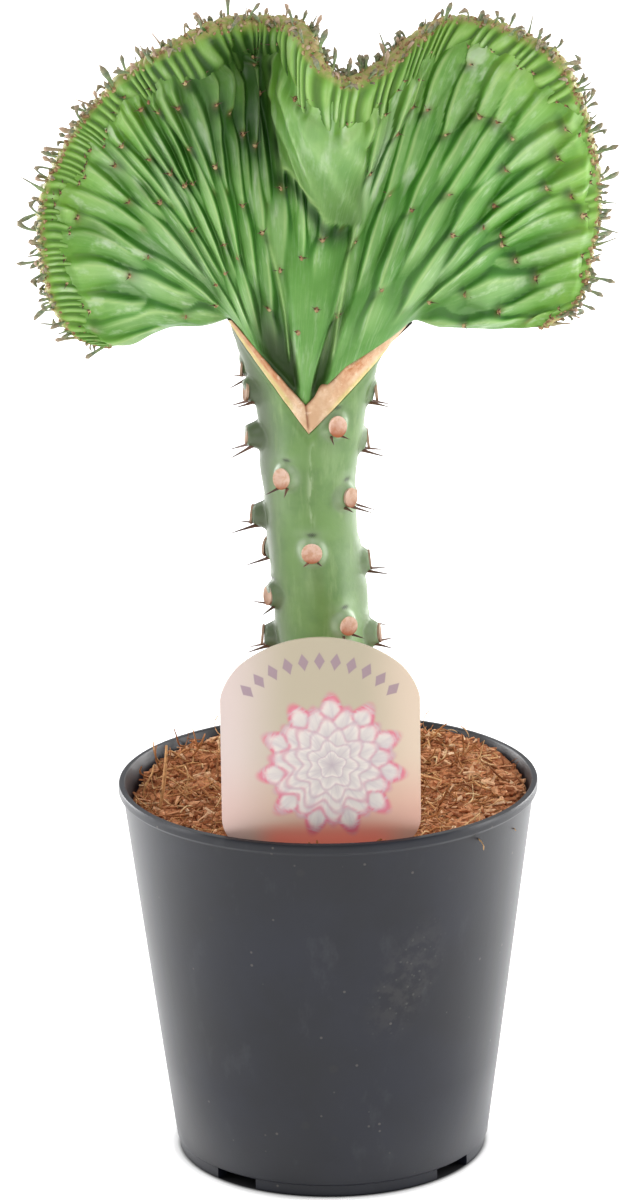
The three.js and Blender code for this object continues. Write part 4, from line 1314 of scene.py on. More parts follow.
def comb_surface(across, along):
    level, side = both_faces(along, COMB_ROWS)
    v = lerp(comb_edge(across) - COMB_WIDTH, 1.0, (level / COMB_ROWS) ** 0.85)
    raised, light, aside, lot = comb(across, v)
    inner = middle(across, v)
    fading = smooth(0, 0.02, np.minimum(across, 1 - across))
    depth = half_depth_at(across, v) + raised * fading * (1 - 0.5 * smooth(0.97, 1, v))
    points = inner + front_normal(across, v) * (side * np.maximum(depth, 0.02))[:, None]
    frill = (0.1 + 0.6 * (1 - aside ** 2)) * fading + 0.7 * rough(inner, 3.5, 9.0)
    out = unit(inner - middle(across, v - 0.03))
    points += out * (frill * smooth(0.955, 0.985, v))[:, None]
    # Painted shade in the fold, beside it and between the ribs
    crease = bell(across - CREASE["at"], 0.03) * fall(0.93, 0.98, v)
    shade = 0.5 * bell(across - 0.34, 0.09)
    gap_shade = smooth(0.35, 0.85, aside) * fall(0.96, 0.985, v) * (1 - 0.6 * smooth(0.75, 0.83, across))
    dark = lerp(0.5, 0.7, smooth(0.2, 0.3, across)) * (0.6 + 0.6 * lot) * gap_shade + 0.7 * crease
    dark = np.clip(dark + shade * (1 - 0.55 * light) * fall(0.95, 0.99, v), 0, 1)
    # Painted light on the ribs, dimmer in the fold's shade
    light = light * (1 - 0.35 * dim_at(across)) * lerp(0.75, 1.1, lot)
    still = 0 * v
    # A painted highlight along each rib's edge
    return points, {
        "ridge": 0.15 + 0.75 * light, "rim": 0.6 * bell(aside - 0.15, 0.2) * fall(0.94, 0.98, v),
        "lot": 0.2 + 0.5 * lot, "node": still, "dark": dark, "deep": still,
        "bloom": 0.4 * patches_of(BLOOM_AND_SHEEN, across, v), "olive": still, "radial": v,
        "row": row_run(across) * ROWS, "face": side * 4, "wool": smooth(0.965, 0.99, v),
    }


def make_comb():
    mesh = wrapped("crest_comb", COMB_COLUMNS, 2 * COMB_ROWS + 1, comb_surface)
    piece("crest_comb", mesh, bpy.data.materials["crest skin"])


# Share of the comb's ribs with a node at their start
RIB_NODES = 0.55


def crest_nodes():
    """u, v, side and size of every node on the crest: between the leaf bases and along the band."""
    found = []
    for row in range(ROWS):
        for tooth in range(-1, 5):
            v = row_heads[row] - row_pitch[row] * (tooth + row_phase[row] + NODE_SET_BACK)
            u = float(at_row(row_centre(row, v) / ROWS))
            hidden = flap(np.array([u]), np.array([v]))[0][0] > 0.2
            if TIER_START[row_tier[row]] + 0.06 < v < row_heads[row] - 0.01:
                found += [(u, v, side, 1.0) for side in (1, -1) if side < 0 or not hidden]
    chance = np.random.default_rng(12)
    places, counts = zip(*RIB_COUNTS)
    for rib in range(RIBS):
        for side in (1, -1):
            if chance.random() < RIB_NODES:
                u = float(np.interp(rib + chance.uniform(0.3, 0.7), counts, places))
                found.append((u, float(rib_start(np.array(u))) + chance.uniform(0.004, 0.03), side, 0.75))
    return [n for n in found if 0.012 < n[0] < 0.988]


def make_crest_nodes():
    chance = np.random.default_rng(21)
    shield = shaped("shield", ball(), lambda x, y, z: (x, y, 0.6 * z + 0.25 * x * x))
    spine = thorn_template(sides=4, rings=1)
    shields, spines = [], []
    nodes = crest_nodes()
    u, v, side, size = (np.array(a, float) for a in zip(*nodes))
    feet = skin(u, v, side)
    normals = front_normal(u, v) * side[:, None]
    outward = unit(middle(u, v + 0.03) - middle(u, v))
    sideways = unit(np.cross(outward, normals))
    for k in range(len(nodes)):
        scale = size[k] * chance.uniform(0.75, 1.2)
        way = Vector(unit(normals[k] + 0.35 * outward[k]))
        foot = Vector(feet[k])
        tall = (0.7 * scale, 0.9 * scale, 0.65 * scale)
        shields.append((0, aimed(foot, way, chance.uniform(-0.5, 0.5), tall), chance.random()))
        for hand in (-1, 1):
            if chance.random() < 0.15:
                continue
            lean = normals[k] * 0.9 + outward[k] * chance.uniform(0.1, 0.9)
            lean = lean + hand * sideways[k] * chance.uniform(0.4, 0.9)
            length = scale * chance.uniform(1.6, 3.0)
            root = foot + Vector(sideways[k]) * hand * 0.25
            place = aimed(root, Vector(lean).normalized(), 0, (0.3, 0.3, length))
            spines.append((0, place, chance.random()))
    repeated("crest_nodes", [shield], shields, node_finish())
    repeated("crest_spines", [spine], spines, bpy.data.materials["thorn"])


def leaflet_templates():
    """Small leaves of length 1: a stalk and a blunt or hooked tip, each curled differently."""
    made = []
    # Curl in radians, where the leaf is widest, radius there, radius of the stalk
    for curl, widest, blade, stalk in (
        (0.5, 0.88, 0.19, 0.09), (1.5, 0.85, 0.15, 0.09), (2.2, 0.9, 0.14, 0.08),
        (0.9, 0.7, 0.2, 0.1), (0.3, 0.3, 0.16, 0.05),
    ):

        def shape(x, y, z, curl=curl, widest=widest, blade=blade, stalk=stalk):
            swell = stalk + (blade - stalk) * math.exp(-(((z - widest) / 0.2) ** 2))
            swell *= math.sqrt(max(0.03, 1 - max(0, (z - 0.84) / 0.17) ** 2))
            turn = curl * z * z
            bend, rise = curl * z ** 3 / 3, z - curl ** 2 * z ** 5 / 10
            return (
                bend + x * 0.7 * swell * math.cos(turn), y * swell,
                rise - x * 0.7 * swell * math.sin(turn),
            )

        made.append(shaped("leaflet", bar(6, 5), shape))
    return made


# How many leaflets there are and how long they are: an even row of large ones, small ones between them,
# and a second fringe that stands behind on the stretch of the margin at the notch
LEAFLETS = {"count": 92, "lengths": (5.5, 8.5)}
SMALL_LEAFLETS = {"count": 380, "lengths": (2.4, 5.0)}
NOTCH_FRINGE = {"count": 70, "lengths": (3.5, 6.5), "from": 0.45, "to": 0.6}
# How much longer or shorter the leaflets are along the margin, as (place, share)
LEAFLET_GROWTH = [(0, 1.15), (0.1, 1.3), (0.35, 1.2), (0.45, 1.0), (0.6, 1.0), (0.8, 1.2), (1, 1.2)]


def make_leaflets():
    chance = np.random.default_rng(31)
    kinds = (LEAFLETS, SMALL_LEAFLETS, NOTCH_FRINGE)
    large, small, behind = (kind["count"] for kind in kinds)
    count = large + small + behind
    u = np.concatenate([
        (np.arange(large) + chance.uniform(0.3, 0.7, large)) / large,
        chance.uniform(0.004, 0.996, small),
        chance.uniform(NOTCH_FRINGE["from"], NOTCH_FRINGE["to"], behind),
    ])
    side = np.where(np.arange(count) % 2 == 0, 1.0, -1.0)
    side[large + small:] = -1
    length = np.concatenate([chance.uniform(*kind["lengths"], kind["count"]) for kind in kinds])
    length *= np.interp(u, *zip(*LEAFLET_GROWTH))
    level = 0.974 + chance.uniform(-0.012, 0.016, count)
    face = front_normal(u, level) * side[:, None]
    out = unit(margin(u) - middle(u, np.full(count, 0.93)))
    tangent = unit(margin(u + 1e-3) - margin(u - 1e-3))
    start = middle(u, level) + face * (half_depth_at(u, level) * 0.6)[:, None] - out * 0.6
    lean = chance.uniform(0.1, 0.75, count)
    ways = unit(out + face * lean[:, None] + tangent * chance.uniform(-0.5, 0.5, count)[:, None])
    # Dry and brown over the lobes' tops, fresh at the sides
    brown = 0.35 + 0.3 * bell(u - 0.33, 0.14) + 0.2 * bell(u - 0.65, 0.1)
    dryness = np.clip(brown + chance.normal(0, 0.18, count), 0, 1)
    places = []
    for k in range(count):
        girth = chance.uniform(3.3, 4.6) * (0.75 + 0.25 * length[k] / 5)
        place = aimed(start[k], ways[k], chance.uniform(0, 2 * math.pi), (girth, girth, length[k]))
        places.append((int(chance.integers(5)), place, dryness[k]))
    repeated("margin_leaflets", leaflet_templates(), places, leaflet_finish())


# How many buds stand along the growing line
BUDS = 900


def make_margin_wool():
    """The growing line of the crest: crowded little buds, brown and woolly."""
    chance = np.random.default_rng(44)
    bud = shaped("bud", ball(), lambda x, y, z: (x * (1 + 0.2 * z), y, 1.15 * z + 0.15 * x * y))
    u = (np.arange(BUDS) + chance.uniform(0, 1, BUDS)) / BUDS
    v = chance.uniform(0.97, 1.0, BUDS)
    side = chance.choice([-1.0, 1.0], BUDS)
    points = skin(u, v, side)
    out = unit(middle(u, np.ones(BUDS)) - middle(u, np.full(BUDS, 0.93)))
    ways = unit(out * (0.6 + 8 * (v - 0.94))[:, None] + front_normal(u, v) * side[:, None] * 0.7)
    places = []
    for point, way in zip(points, ways):
        size = chance.uniform(0.4, 0.75)
        stretch = (size, size * 0.8, size * chance.uniform(1.0, 1.9))
        places.append((0, aimed(point, way, chance.uniform(0, 6), stretch), chance.random()))
    repeated("margin_buds", [bud], places, node_finish())


# Coir

POT_HEIGHT = 111.0
RIM_RADIUS = 60.0
LIP_WIDTH = 0.8
LIP_HEIGHT = 3.4
WALL = 1.2
FOOT_RADIUS = 44.4
FOOT_HEIGHT = 3.4
FOOT_STEP = 0.9
FOOT_WIDTH = 3.2
FLOOR_TOP = 5.0
SLOT_WIDTH = 14.0
SLOT_ANGLES = [-39, 51, 141, 231]
DRAIN_RADIUS = 4.0
DRAIN_CIRCLE = 29.0
DRAIN_COUNT = 6
GAP = 0.3
SOIL_TILT = 2.2
SOIL_SHOULDER = 101.5
SOIL_DOME = 1.2
BACK_RISE = 4.2


def wall_radius(height):
    """Outer radius of the pot wall below the lip."""
    low = FOOT_RADIUS + FOOT_STEP
    return lerp(low, RIM_RADIUS - LIP_WIDTH, (height - FOOT_HEIGHT) / (POT_HEIGHT - FOOT_HEIGHT))


def soil_height(x, y):
    span = wall_radius(SOIL_LEVEL) - WALL
    share = (x * x + y * y) / (span * span)
    back = smooth(-5, 45, y)
    tilted = SOIL_LEVEL + SOIL_TILT * (x / span) * (1 - 0.7 * back)
    return tilted + SOIL_DOME * (1 - share) + BACK_RISE * back


def soil_drop(y, radius):
    """How far the coir rolls off beside the wall: little at the back."""
    return lerp(SOIL_DROP["front"], SOIL_DROP["back"], smooth(-15, 25, y)) * smooth(*SOIL_EDGE, radius)


SOIL_COLUMNS = 260
SOIL_RINGS = 84
SOIL_SIDE_RINGS = 4
# Radii between which the coir's top rolls off towards the wall, and how far at the front and the back
SOIL_EDGE = (55.5, 57.5)
SOIL_DROP = {"front": 3.2, "back": 0.4}
# Lumps of the coir's top: height, size and seed
CRUMB = [(1.1, 6.5, 1.0), (0.8, 2.4, 2.0), (0.45, 1.1, 3.0)]


def soil_surface(across, along):
    angle = across * 2 * math.pi
    ring = along * (SOIL_RINGS + SOIL_SIDE_RINGS)
    outer = wall_radius(SOIL_SHOULDER) - WALL - GAP
    low = FLOOR_TOP + GAP
    bends = [SOIL_RINGS, SOIL_RINGS + 3, SOIL_RINGS + 4]
    radius = np.interp(ring, [0, *bends], [0, outer, wall_radius(low) - WALL - GAP, 0])
    x, y = radius * np.sin(angle), -radius * np.cos(angle)
    level = soil_height(x, y)
    flat = joined(x, y, 0 * x)
    crumb = sum(rise * rough(flat, size, seed) for rise, size, seed in CRUMB)
    top = level + crumb - soil_drop(y, radius + 1.2 * rough(flat, 9, 6.0))
    side = np.interp(ring, bends, [SOIL_SHOULDER, low, low])
    z = np.where(ring <= SOIL_RINGS + 0.5, np.maximum(top, SOIL_SHOULDER - 1), side)
    return joined(x, y, z), {"top": smooth(-1, 1, top - z)}


label_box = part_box("plant_label")
stem_foot_x = float(stem_at(SOIL_LEVEL)[0])


def clear_of_others(x, y, room):
    """Whether a bit of coir lies free of the stem, the label and the pot wall."""
    at_stem = math.hypot(x - stem_foot_x, y) < STEM_DEPTH["at soil"] + room
    low, high = label_box
    at_label = low.x / MM - room < x < high.x / MM + room and abs(y - low.y / MM) < 0.8 + room
    at_wall = math.hypot(x, y) > wall_radius(SOIL_LEVEL) - WALL - room
    return not (at_stem or at_label or at_wall)


def make_soil():
    mesh = wrapped("coir", SOIL_COLUMNS, SOIL_RINGS + SOIL_SIDE_RINGS, soil_surface)
    piece("coir", mesh, coir_finish(), ["coir_soil"])


# How many chips and fibres are strewn, how far from the pot's axis, their lengths and their colours
CHIPS = {
    "count": 2300, "reach": 57.5, "lengths": (1.6, 5.2),
    "tones": [(0.0, (150, 90, 56)), (0.4, (200, 134, 92)), (0.75, (226, 170, 128)), (1.0, (242, 208, 170))],
}
FIBRES = {
    "count": 1300, "reach": 57.0, "lengths": (3.5, 13),
    "tones": [(0.0, (126, 76, 40)), (0.45, (182, 122, 74)), (0.8, (212, 164, 112)), (1.0, (230, 196, 150))],
}


def strewn(chance, reach):
    """A spot on the coir picked by chance, and how far it lies from the pot's axis."""
    angle, radius = chance.uniform(0, 2 * math.pi), reach * math.sqrt(chance.random())
    return radius * math.cos(angle), radius * math.sin(angle), radius


def lying_height(chance, spot, low, high):
    """Height at which a bit of coir lies: the coir's own height, and a little lower or higher."""
    x, y, radius = spot
    return float(soil_height(x, y) - soil_drop(y, radius)) + chance.uniform(low, high)


def make_chips():
    """Short flat bits of husk lying all ways on the coir."""
    chance = np.random.default_rng(51)

    def chip(bend, taper):
        def shape(x, y, z):
            return (x * 0.5 * (1 - taper * z) + bend * z * z, y * 0.16, z - 0.5)
        return shaped("chip", bar(4, 1), shape)

    templates = [chip(0.2, 0.5), chip(-0.3, 0.2), chip(0.05, 0.75)]
    places = []
    while len(places) < CHIPS["count"]:
        x, y, radius = strewn(chance, CHIPS["reach"])
        length = chance.uniform(*CHIPS["lengths"])
        if not clear_of_others(x, y, 0.4 + 0.35 * length):
            continue
        z = lying_height(chance, (x, y, radius), -0.6, 1.0)
        way = Vector((chance.normal(), chance.normal(), 0.3 * chance.normal())).normalized()
        size = (chance.uniform(0.8, 2.0), chance.uniform(1.2, 3.0), length)
        which = int(chance.integers(3))
        place = aimed((x, y, z), way, chance.uniform(0, 3), size)
        places.append((which, place, chance.random()))
    finish = strand_finish("coir chips", CHIPS["tones"])
    repeated("coir_chips", templates, places, finish, crease=35)


def strand_templates():
    """Thin round fibres of length 1, each curling its own way."""
    made = []
    for curl, wave in ((0.4, 0.0), (1.4, 0.05), (-0.9, 0.08), (2.6, 0.0), (-0.2, 0.12)):

        def shape(x, y, z, curl=curl, wave=wave):
            width = 0.5 + 0.5 * math.sin(math.pi * min(1, z * 0.8 + 0.15))
            turn = curl * z
            side = wave * math.sin(6 * z)
            return (
                (1 - math.cos(turn)) / curl + x * width * 0.028, y * width * 0.028 + side,
                math.sin(turn) / curl,
            )

        made.append(shaped("strand", bar(4, 6), shape))
    return made


# Place on the coir, length, way and template of the fibres that stand up
STANDING_FIBRES = [
    (-48.5, -6, 21, (0.2, -0.15, 1), 0), (-53, 5, 12, (0.1, -0.3, 1), 1),
    (-50, -9, 9, (-0.3, 0.1, 0.8), 2), (44, -24, 7, (0.5, 0.2, 0.7), 3), (38, 20, 9, (0.6, -0.4, 0.5), 4),
]


def make_fibres():
    """Coir fibres: thin curls half sunk in the coir, and a few that stand up at the left."""
    chance = np.random.default_rng(61)
    places = []
    while len(places) < FIBRES["count"]:
        x, y, radius = strewn(chance, FIBRES["reach"])
        length = chance.uniform(*FIBRES["lengths"])
        heading = chance.uniform(0, 2 * math.pi)
        way = Vector((math.cos(heading), math.sin(heading), chance.uniform(-0.12, 0.22)))
        end = Vector((x, y, 0)) + way * length
        if not clear_of_others(x, y, 0.6) or not clear_of_others(end.x, end.y, 0.6):
            continue
        z = lying_height(chance, (x, y, radius), -0.3, 0.9)
        place = aimed((x, y, z), way.normalized(), chance.uniform(0, 6.3), (length,) * 3)
        places.append((int(chance.integers(5)), place, chance.random()))
    for x, y, length, way, which in STANDING_FIBRES:
        spot = (x, y, float(soil_height(x, y)) - 1.5)
        places.append((which, aimed(spot, Vector(way).normalized(), 1.0, (length,) * 3), 0.7))
    finish = strand_finish("coir fibres", FIBRES["tones"])
    repeated("coir_fibres", strand_templates(), places, finish)


# Pot

def revolved(bm, profile, sides, start=0.0, sweep=360.0):
    """Spins a closed or axis-to-axis profile of (radius, height) pairs about the pot's axis."""
    turn = Matrix.Rotation(math.radians(start), 3, "Z")
    verts = [bm.verts.new(turn @ Vector((0, -r * MM, z * MM))) for r, z in profile]
    edges = [bm.edges.new(pair) for pair in zip(verts, verts[1:])]
    closed = sweep < 360
    if closed:
        edges.append(bm.edges.new((verts[-1], verts[0])))
    geom = verts + edges
    if closed:
        geom = [bm.faces.new(verts), *verts, *edges]
    bmesh.ops.spin(
        bm, geom=geom, cent=(0, 0, 0), axis=(0, 0, 1), angle=math.radians(sweep), steps=sides,
        use_merge=not closed, use_duplicate=False,
    )


POT_SIDES = 180


def drilled(mesh):
    """Cuts the drain holes, one in the middle and a ring of them round it, through the pot's floor."""
    bm = bmesh.new()
    for hole in range(DRAIN_COUNT + 1):
        angle = 2 * math.pi * hole / DRAIN_COUNT
        out = DRAIN_CIRCLE * MM * (hole < DRAIN_COUNT)
        spot = Matrix.Translation((math.sin(angle) * out, -math.cos(angle) * out, FLOOR_TOP * MM))
        bmesh.ops.create_cone(
            bm, cap_ends=True, segments=24, radius1=DRAIN_RADIUS * MM, radius2=DRAIN_RADIUS * MM,
            depth=4 * WALL * MM, matrix=spot,
        )
    holes = placed("holes", mesh_of("holes", bm))
    solid = placed("solid", mesh)
    cut = solid.modifiers.new("cut", "BOOLEAN")
    cut.operation = "DIFFERENCE"
    cut.solver = "EXACT"
    cut.object = holes
    result = bpy.data.meshes.new_from_object(solid.evaluated_get(bpy.context.evaluated_depsgraph_get()))
    for made in (holes, solid):
        bpy.data.objects.remove(made)
    return result


def make_pot():
    lip_bottom = POT_HEIGHT - LIP_HEIGHT
    inner_foot = FOOT_RADIUS - FOOT_WIDTH
    underside = FLOOR_TOP - WALL
    low_wall, lip_wall, top_wall = (wall_radius(h) for h in (FOOT_HEIGHT, lip_bottom, POT_HEIGHT))
    inner_low, inner_middle = (wall_radius(h) - WALL for h in (FLOOR_TOP, 60))
    outside = [
        (0, underside), (FOOT_RADIUS - 0.6, underside), (FOOT_RADIUS, underside - 0.2),
        (FOOT_RADIUS, FOOT_HEIGHT), (low_wall, FOOT_HEIGHT + 0.9), (wall_radius(30), 30),
        (wall_radius(70), 70), (lip_wall - 0.05, lip_bottom - 0.4), (lip_wall + 0.1, lip_bottom),
    ]
    lip = [
        (RIM_RADIUS - 0.1, lip_bottom + 0.75), (RIM_RADIUS, lip_bottom + 1.0),
        (RIM_RADIUS, POT_HEIGHT - 0.6), (RIM_RADIUS - 0.18, POT_HEIGHT - 0.18),
        (RIM_RADIUS - 0.6, POT_HEIGHT), (top_wall - WALL + 0.4, POT_HEIGHT),
        (top_wall - WALL, POT_HEIGHT - 0.4),
    ]
    inside = [
        (inner_middle, 60), (inner_low, FLOOR_TOP + 0.8), (inner_low - 0.8, FLOOR_TOP), (0, FLOOR_TOP),
    ]
    body = bmesh.new()
    revolved(body, outside + lip + inside, POT_SIDES)
    close_seams(body)
    bm = bmesh.new()
    bm.from_mesh(drilled(mesh_of("body", body)))
    foot = [
        (inner_foot, underside + 0.3), (inner_foot, 0.4), (inner_foot + 0.4, 0), (FOOT_RADIUS - 0.8, 0),
        (FOOT_RADIUS - 0.2, 0.3), (FOOT_RADIUS, 0.9), (FOOT_RADIUS, underside + 0.3),
    ]
    half_slot = math.degrees(SLOT_WIDTH / 2 / FOOT_RADIUS)
    for angle, following in zip(SLOT_ANGLES, [*SLOT_ANGLES[1:], SLOT_ANGLES[0] + 360]):
        revolved(bm, foot, 40, angle + half_slot, following - angle - 2 * half_slot)
    close_seams(bm)
    piece("nursery_pot", mesh_of("pot", bm), pot_finish(), ["pot"], crease=40)


# Label

LABEL = {"x": -2.1, "y": -49.0, "bottom": 106.0, "top": 167.6, "half width": 27.6, "thickness": 0.8,
         "arch": 13.5}
LABEL_SHOULDER = 6.0
LABEL_CORNER = 9.5
STAKE = {"half width": 6.0, "length": 44.0, "taper": 12.0}


def label_finish():
    material, tree, shader = new_finish(
        "label print",
        {"Roughness": 0.32, "Specular IOR Level": 0.5, "Coat Weight": 0.3, "Coat Roughness": 0.2},
    )
    across = painted(tree, "across")
    upward = painted(tree, "upward")
    cream = over(tree, tone(174, 162, 138), tone(206, 188, 182), between(tree, across, 0.38, 0.0))
    warm = over(tree, cream, tone(212, 190, 168), between(tree, across, 0.68, 1.0, 0.0, 0.9))
    low = times(tree, between(tree, upward, 0.5, 0.08), between(tree, across, 0.1, 0.7, 0.4, 0.85))
    salmon = over(tree, warm, tone(208, 150, 132), low)
    middle_part = times(tree, between(tree, across, 0.12, 0.3), between(tree, across, 0.95, 0.75))
    foot = times(tree, between(tree, upward, 0.15, 0.05), middle_part)
    # Coral printed along the foot, painted lighter than the print to make up for the shade under the pot's
    # rim
    coral = over(tree, salmon, tone(238, 136, 118), foot)
    wide = 2 * LABEL["half width"] / (LABEL["top"] - LABEL["bottom"])
    x = times(tree, number(tree, "SUBTRACT", across, 0.5), wide)
    printed = rosette(tree, coral, x, upward)
    marked = over(tree, printed, tone(134, 104, 126), arch_marks(tree, x, upward))
    finish_with(tree, shader, marked, pores=900.0, depth=0.04, strength=0.3, waves=0.8)
    return material


def from_point(tree, x, y, middle):
    """Distance from a point and angle round it from upwards."""
    aside = number(tree, "SUBTRACT", x, middle[0])
    above = number(tree, "SUBTRACT", y, middle[1])
    squares = [times(tree, part, part) for part in (aside, above)]
    return number(tree, "SQRT", number(tree, "ADD", *squares)), number(tree, "ARCTAN2", aside, above)


# Rings of pointed petals from the outside in: radius, number of petals, turn, pinkness of the tips
PETAL_RINGS = [
    (0.34, 11, 0.0, 1.0), (0.29, 11, 0.3, 0.7), (0.235, 10, 0.1, 0.35), (0.18, 9, 0.5, 0.2),
    (0.125, 7, 0.2, 0.15), (0.07, 5, 0.0, 0.1),
]
ROSETTE_MIDDLE = (0.05, 0.4)


def rosette(tree, ground, x, y):
    """A plain rosette of pointed pale petals with pink tips, softly printed over the ground."""
    distance, angle = from_point(tree, x, y, ROSETTE_MIDDLE)
    round_about = add(tree, "CombineXYZ", {0: angle, 1: distance, 2: 0.0}).outputs[0]
    veins = mottling(tree, round_about, 1.0, 0.4, 0.7, stretch=(7, 6, 1))
    blots = mottling(tree, round_about, 1.0, 0.35, 0.6, stretch=(3, 30, 1))
    colour = ground
    for radius, petals, turn, pink in PETAL_RINGS:
        wave = number(tree, "COSINE", times(tree, number(tree, "ADD", angle, turn), petals))
        reach = times(tree, number(tree, "ADD", times(tree, wave, 0.12), 0.88), radius)
        share = number(tree, "DIVIDE", distance, reach)
        inside = between(tree, share, 1.06, 0.92)
        petal = ramp(tree, share, [
            (0.0, (170, 154, 160)), (0.7, (197, 189, 184)), (0.88, (212, 204, 196)),
            (1.0, (172, 158, 168)),
        ])
        veined = tinted(tree, petal, (166, 152, 166), veins, 0.4)
        tip = times(tree, between(tree, share, 0.82, 0.98), between(tree, blots, 0.0, 1.0, 0.35, 1.0))
        tipped = over(tree, veined, tone(206, 84, 116), times(tree, tip, pink))
        colour = over(tree, colour, tipped, inside)
    return colour


# A row of small lozenges under the arch: how many to a radian, half lengths, and half the run in radians
MARKS = {"per radian": 6.3, "half width": 0.34, "half height": 0.042, "run": 0.873, "inset": 0.11}


def arch_marks(tree, x, y):
    half, arch = (LABEL[k] / (LABEL["top"] - LABEL["bottom"]) for k in ("half width", "arch"))
    radius = (half ** 2 + arch ** 2) / (2 * arch)
    distance, angle = from_point(tree, x, y, (0.0, 1 - radius))
    place = number(tree, "FRACT", number(tree, "ADD", times(tree, angle, MARKS["per radian"]), 0.5))
    aside = number(tree, "ABSOLUTE", number(tree, "SUBTRACT", place, 0.5))
    above = number(tree, "ABSOLUTE", number(tree, "SUBTRACT", distance, radius - MARKS["inset"]))
    reach = number(
        tree, "ADD", number(tree, "DIVIDE", aside, MARKS["half width"]),
        number(tree, "DIVIDE", above, MARKS["half height"]),
    )
    run = between(tree, number(tree, "ABSOLUTE", angle), MARKS["run"] + 0.01, MARKS["run"])
    return times(tree, times(tree, between(tree, reach, 1.1, 0.85), run), 0.75)


def corner(x, radius):
    """How far a corner of the label, rounded over a radius, falls away at x, from 0 to 1."""
    into = np.clip((np.abs(x) - LABEL["half width"] + radius) / radius, 0, 1)
    return 1 - np.sqrt(1 - into ** 2)


def label_top(x):
    """Upper edge of the label at x from its middle: an arch with rounded shoulders."""
    half = LABEL["half width"]
    radius = (half ** 2 + LABEL["arch"] ** 2) / (2 * LABEL["arch"])
    arch = LABEL["top"] - radius + np.sqrt(radius ** 2 - np.minimum(np.abs(x), half) ** 2)
    return arch - LABEL_SHOULDER * 0.75 * corner(x, LABEL_SHOULDER)


def label_bottom(x):
    """Lower edge of the label: rounded corners, and the pointed stake in the middle."""
    pointed = STAKE["length"] - STAKE["taper"] * np.abs(x) / STAKE["half width"]
    down = np.where(np.abs(x) < STAKE["half width"], pointed, 0)
    return LABEL["bottom"] + LABEL_CORNER * corner(x, LABEL_CORNER) - down


LABEL_BOW = 0.5


def label_surface(across, along):
    half = LABEL["half width"]
    x = -half * np.cos(across * math.pi)
    low, high = label_bottom(x), label_top(x)
    z = lerp(low, high, along)
    upward = (z - LABEL["bottom"]) / (LABEL["top"] - LABEL["bottom"])
    bow = LABEL_BOW * ((x / half) ** 2 - 0.5) * smooth(0.1, 0.9, upward)
    y = LABEL["y"] + bow + 0 * x
    points = joined(x + LABEL["x"], y, z)
    return points, {"across": (x / half + 1) / 2, "upward": upward}


def make_label():
    mesh = wrapped("label", 90, 90, label_surface)
    bm = bmesh.new()
    bm.from_mesh(mesh)
    if sum(f.normal.y for f in bm.faces) > 0:
        bmesh.ops.reverse_faces(bm, faces=bm.faces[:])
    bmesh.ops.solidify(bm, geom=bm.faces[:], thickness=LABEL["thickness"] * MM)
    close_seams(bm)
    bm.to_mesh(mesh)
    bm.free()
    piece("plant_label_card", mesh, label_finish(), ["plant_label"], crease=40)


# Studio

CAMERA = {"place": (-3.37, -1471.6, 596.5), "pitch": 0.2859, "roll": -0.0132}
FOCAL_PIXELS = 5410
FRAME_PIXELS = (628, 1200)
SENSOR = 36.0
# Distances from the pot's axis, in metres, over which the floor turns from a painted shadow to pale, glows
# and glows brightly. Under the pot it is painted dark as its shadow and gives no light of its own.
SHADOW_TO_PALE = (0.0435, 0.0455)
GLOW_FROM = (0.0445, 0.048)
BRIGHT_FROM = (0.25, 1.0)
# Name, place, point it faces, size and watts of each light, in metres
SOFTBOXES = [
    ("floor light", (0, 2.6, 2.6), (0, 2.2, 0), (4.5, 2.5), 40),
    ("top front box", (0.25, -1.3, 1.7), (0, 0, 0.2), (1.2, 0.9), 13),
    ("left strip", (-1.0, -0.1, 0.35), (0, 0, 0.02), (0.3, 0.8), 4),
    ("right strip", (1.0, 0.0, 0.35), (0, 0, 0.02), (0.3, 0.8), 6),
    ("back left box", (-0.8, 0.7, 0.3), (0, 0, 0.05), (0.5, 0.7), 9),
    ("back right box", (0.8, 0.7, 0.3), (0, 0, 0.05), (0.5, 0.7), 9),
]


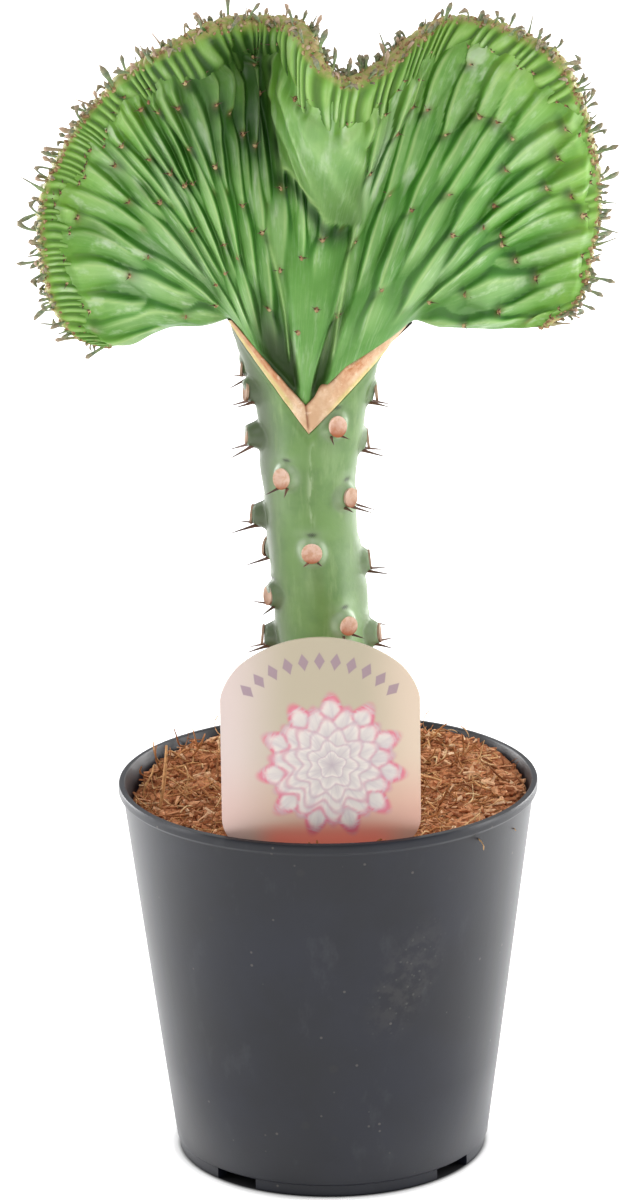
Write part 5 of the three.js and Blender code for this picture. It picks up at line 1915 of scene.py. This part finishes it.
def make_camera():
    data = bpy.data.cameras.new("photo view")
    data.sensor_width = SENSOR
    data.lens = FOCAL_PIXELS / max(FRAME_PIXELS) * SENSOR
    data.clip_start, data.clip_end = 0.05, 60
    pitch, roll = CAMERA["pitch"], CAMERA["roll"]
    forward = Vector((0, math.cos(pitch), -math.sin(pitch)))
    up = Vector((0, math.sin(pitch), math.cos(pitch)))
    right = Vector((1, 0, 0))
    tilted_right = math.cos(roll) * right + math.sin(roll) * up
    tilted_up = -math.sin(roll) * right + math.cos(roll) * up
    turn = Matrix((tilted_right, tilted_up, -forward)).transposed().to_4x4()
    camera = placed("photo view", data)
    camera.matrix_world = Matrix.Translation(Vector(CAMERA["place"]) * MM) @ turn
    bpy.context.scene.camera = camera


def softbox(name, place, aim, size, watts):
    data = bpy.data.lights.new(name, "AREA")
    data.shape = "RECTANGLE"
    data.size, data.size_y = size
    data.energy = watts
    light = placed(name, data)
    light.location = place
    light.rotation_euler = (Vector(aim) - Vector(place)).to_track_quat("-Z", "Y").to_euler()


def make_studio():
    bm = bmesh.new()
    bmesh.ops.create_circle(bm, cap_ends=True, segments=96, radius=9)
    floor = placed("floor", mesh_of("floor", bm))
    material, tree, shader = new_finish(
        "floor", {"Roughness": 0.9, "Specular IOR Level": 0.1, "Emission Strength": 1.0}
    )
    space = own_space(tree)
    patches = mottling(tree, space, 2.0, 0.3, 0.7)
    white = over(tree, tone(250, 250, 250), tone(247, 247, 247), patches)
    out = add(tree, "VectorMath", {0: space}, operation="LENGTH").outputs["Value"]
    # Painted dark under the pot, as its shadow
    finish_with(tree, shader, over(tree, tone(40, 40, 42), white, between(tree, out, *SHADOW_TO_PALE)))
    near = over(tree, (0, 0, 0, 1), (0.4, 0.4, 0.4, 1), between(tree, out, *GLOW_FROM))
    glow = over(tree, near, (0.8, 0.8, 0.8, 1), between(tree, out, *BRIGHT_FROM))
    tree.links.new(glow, shader.inputs["Emission Color"])
    floor.data.materials.append(material)
    world = bpy.data.worlds.new("studio")
    world.use_nodes = True
    background = world.node_tree.nodes["Background"]
    background.inputs["Color"].default_value = (1, 1, 1, 1)
    background.inputs["Strength"].default_value = 0.5
    bpy.context.scene.world = world
    for light in SOFTBOXES:
        softbox(*light)
    bpy.context.scene.view_settings.view_transform = "Standard"


make_camera()
make_studio()
make_pot()
make_soil()
make_chips()
make_fibres()
make_stem()
make_scars()
make_stem_thorns()
make_callus()
make_crest()
make_comb()
make_crest_nodes()
make_leaflets()
make_margin_wool()
make_label()
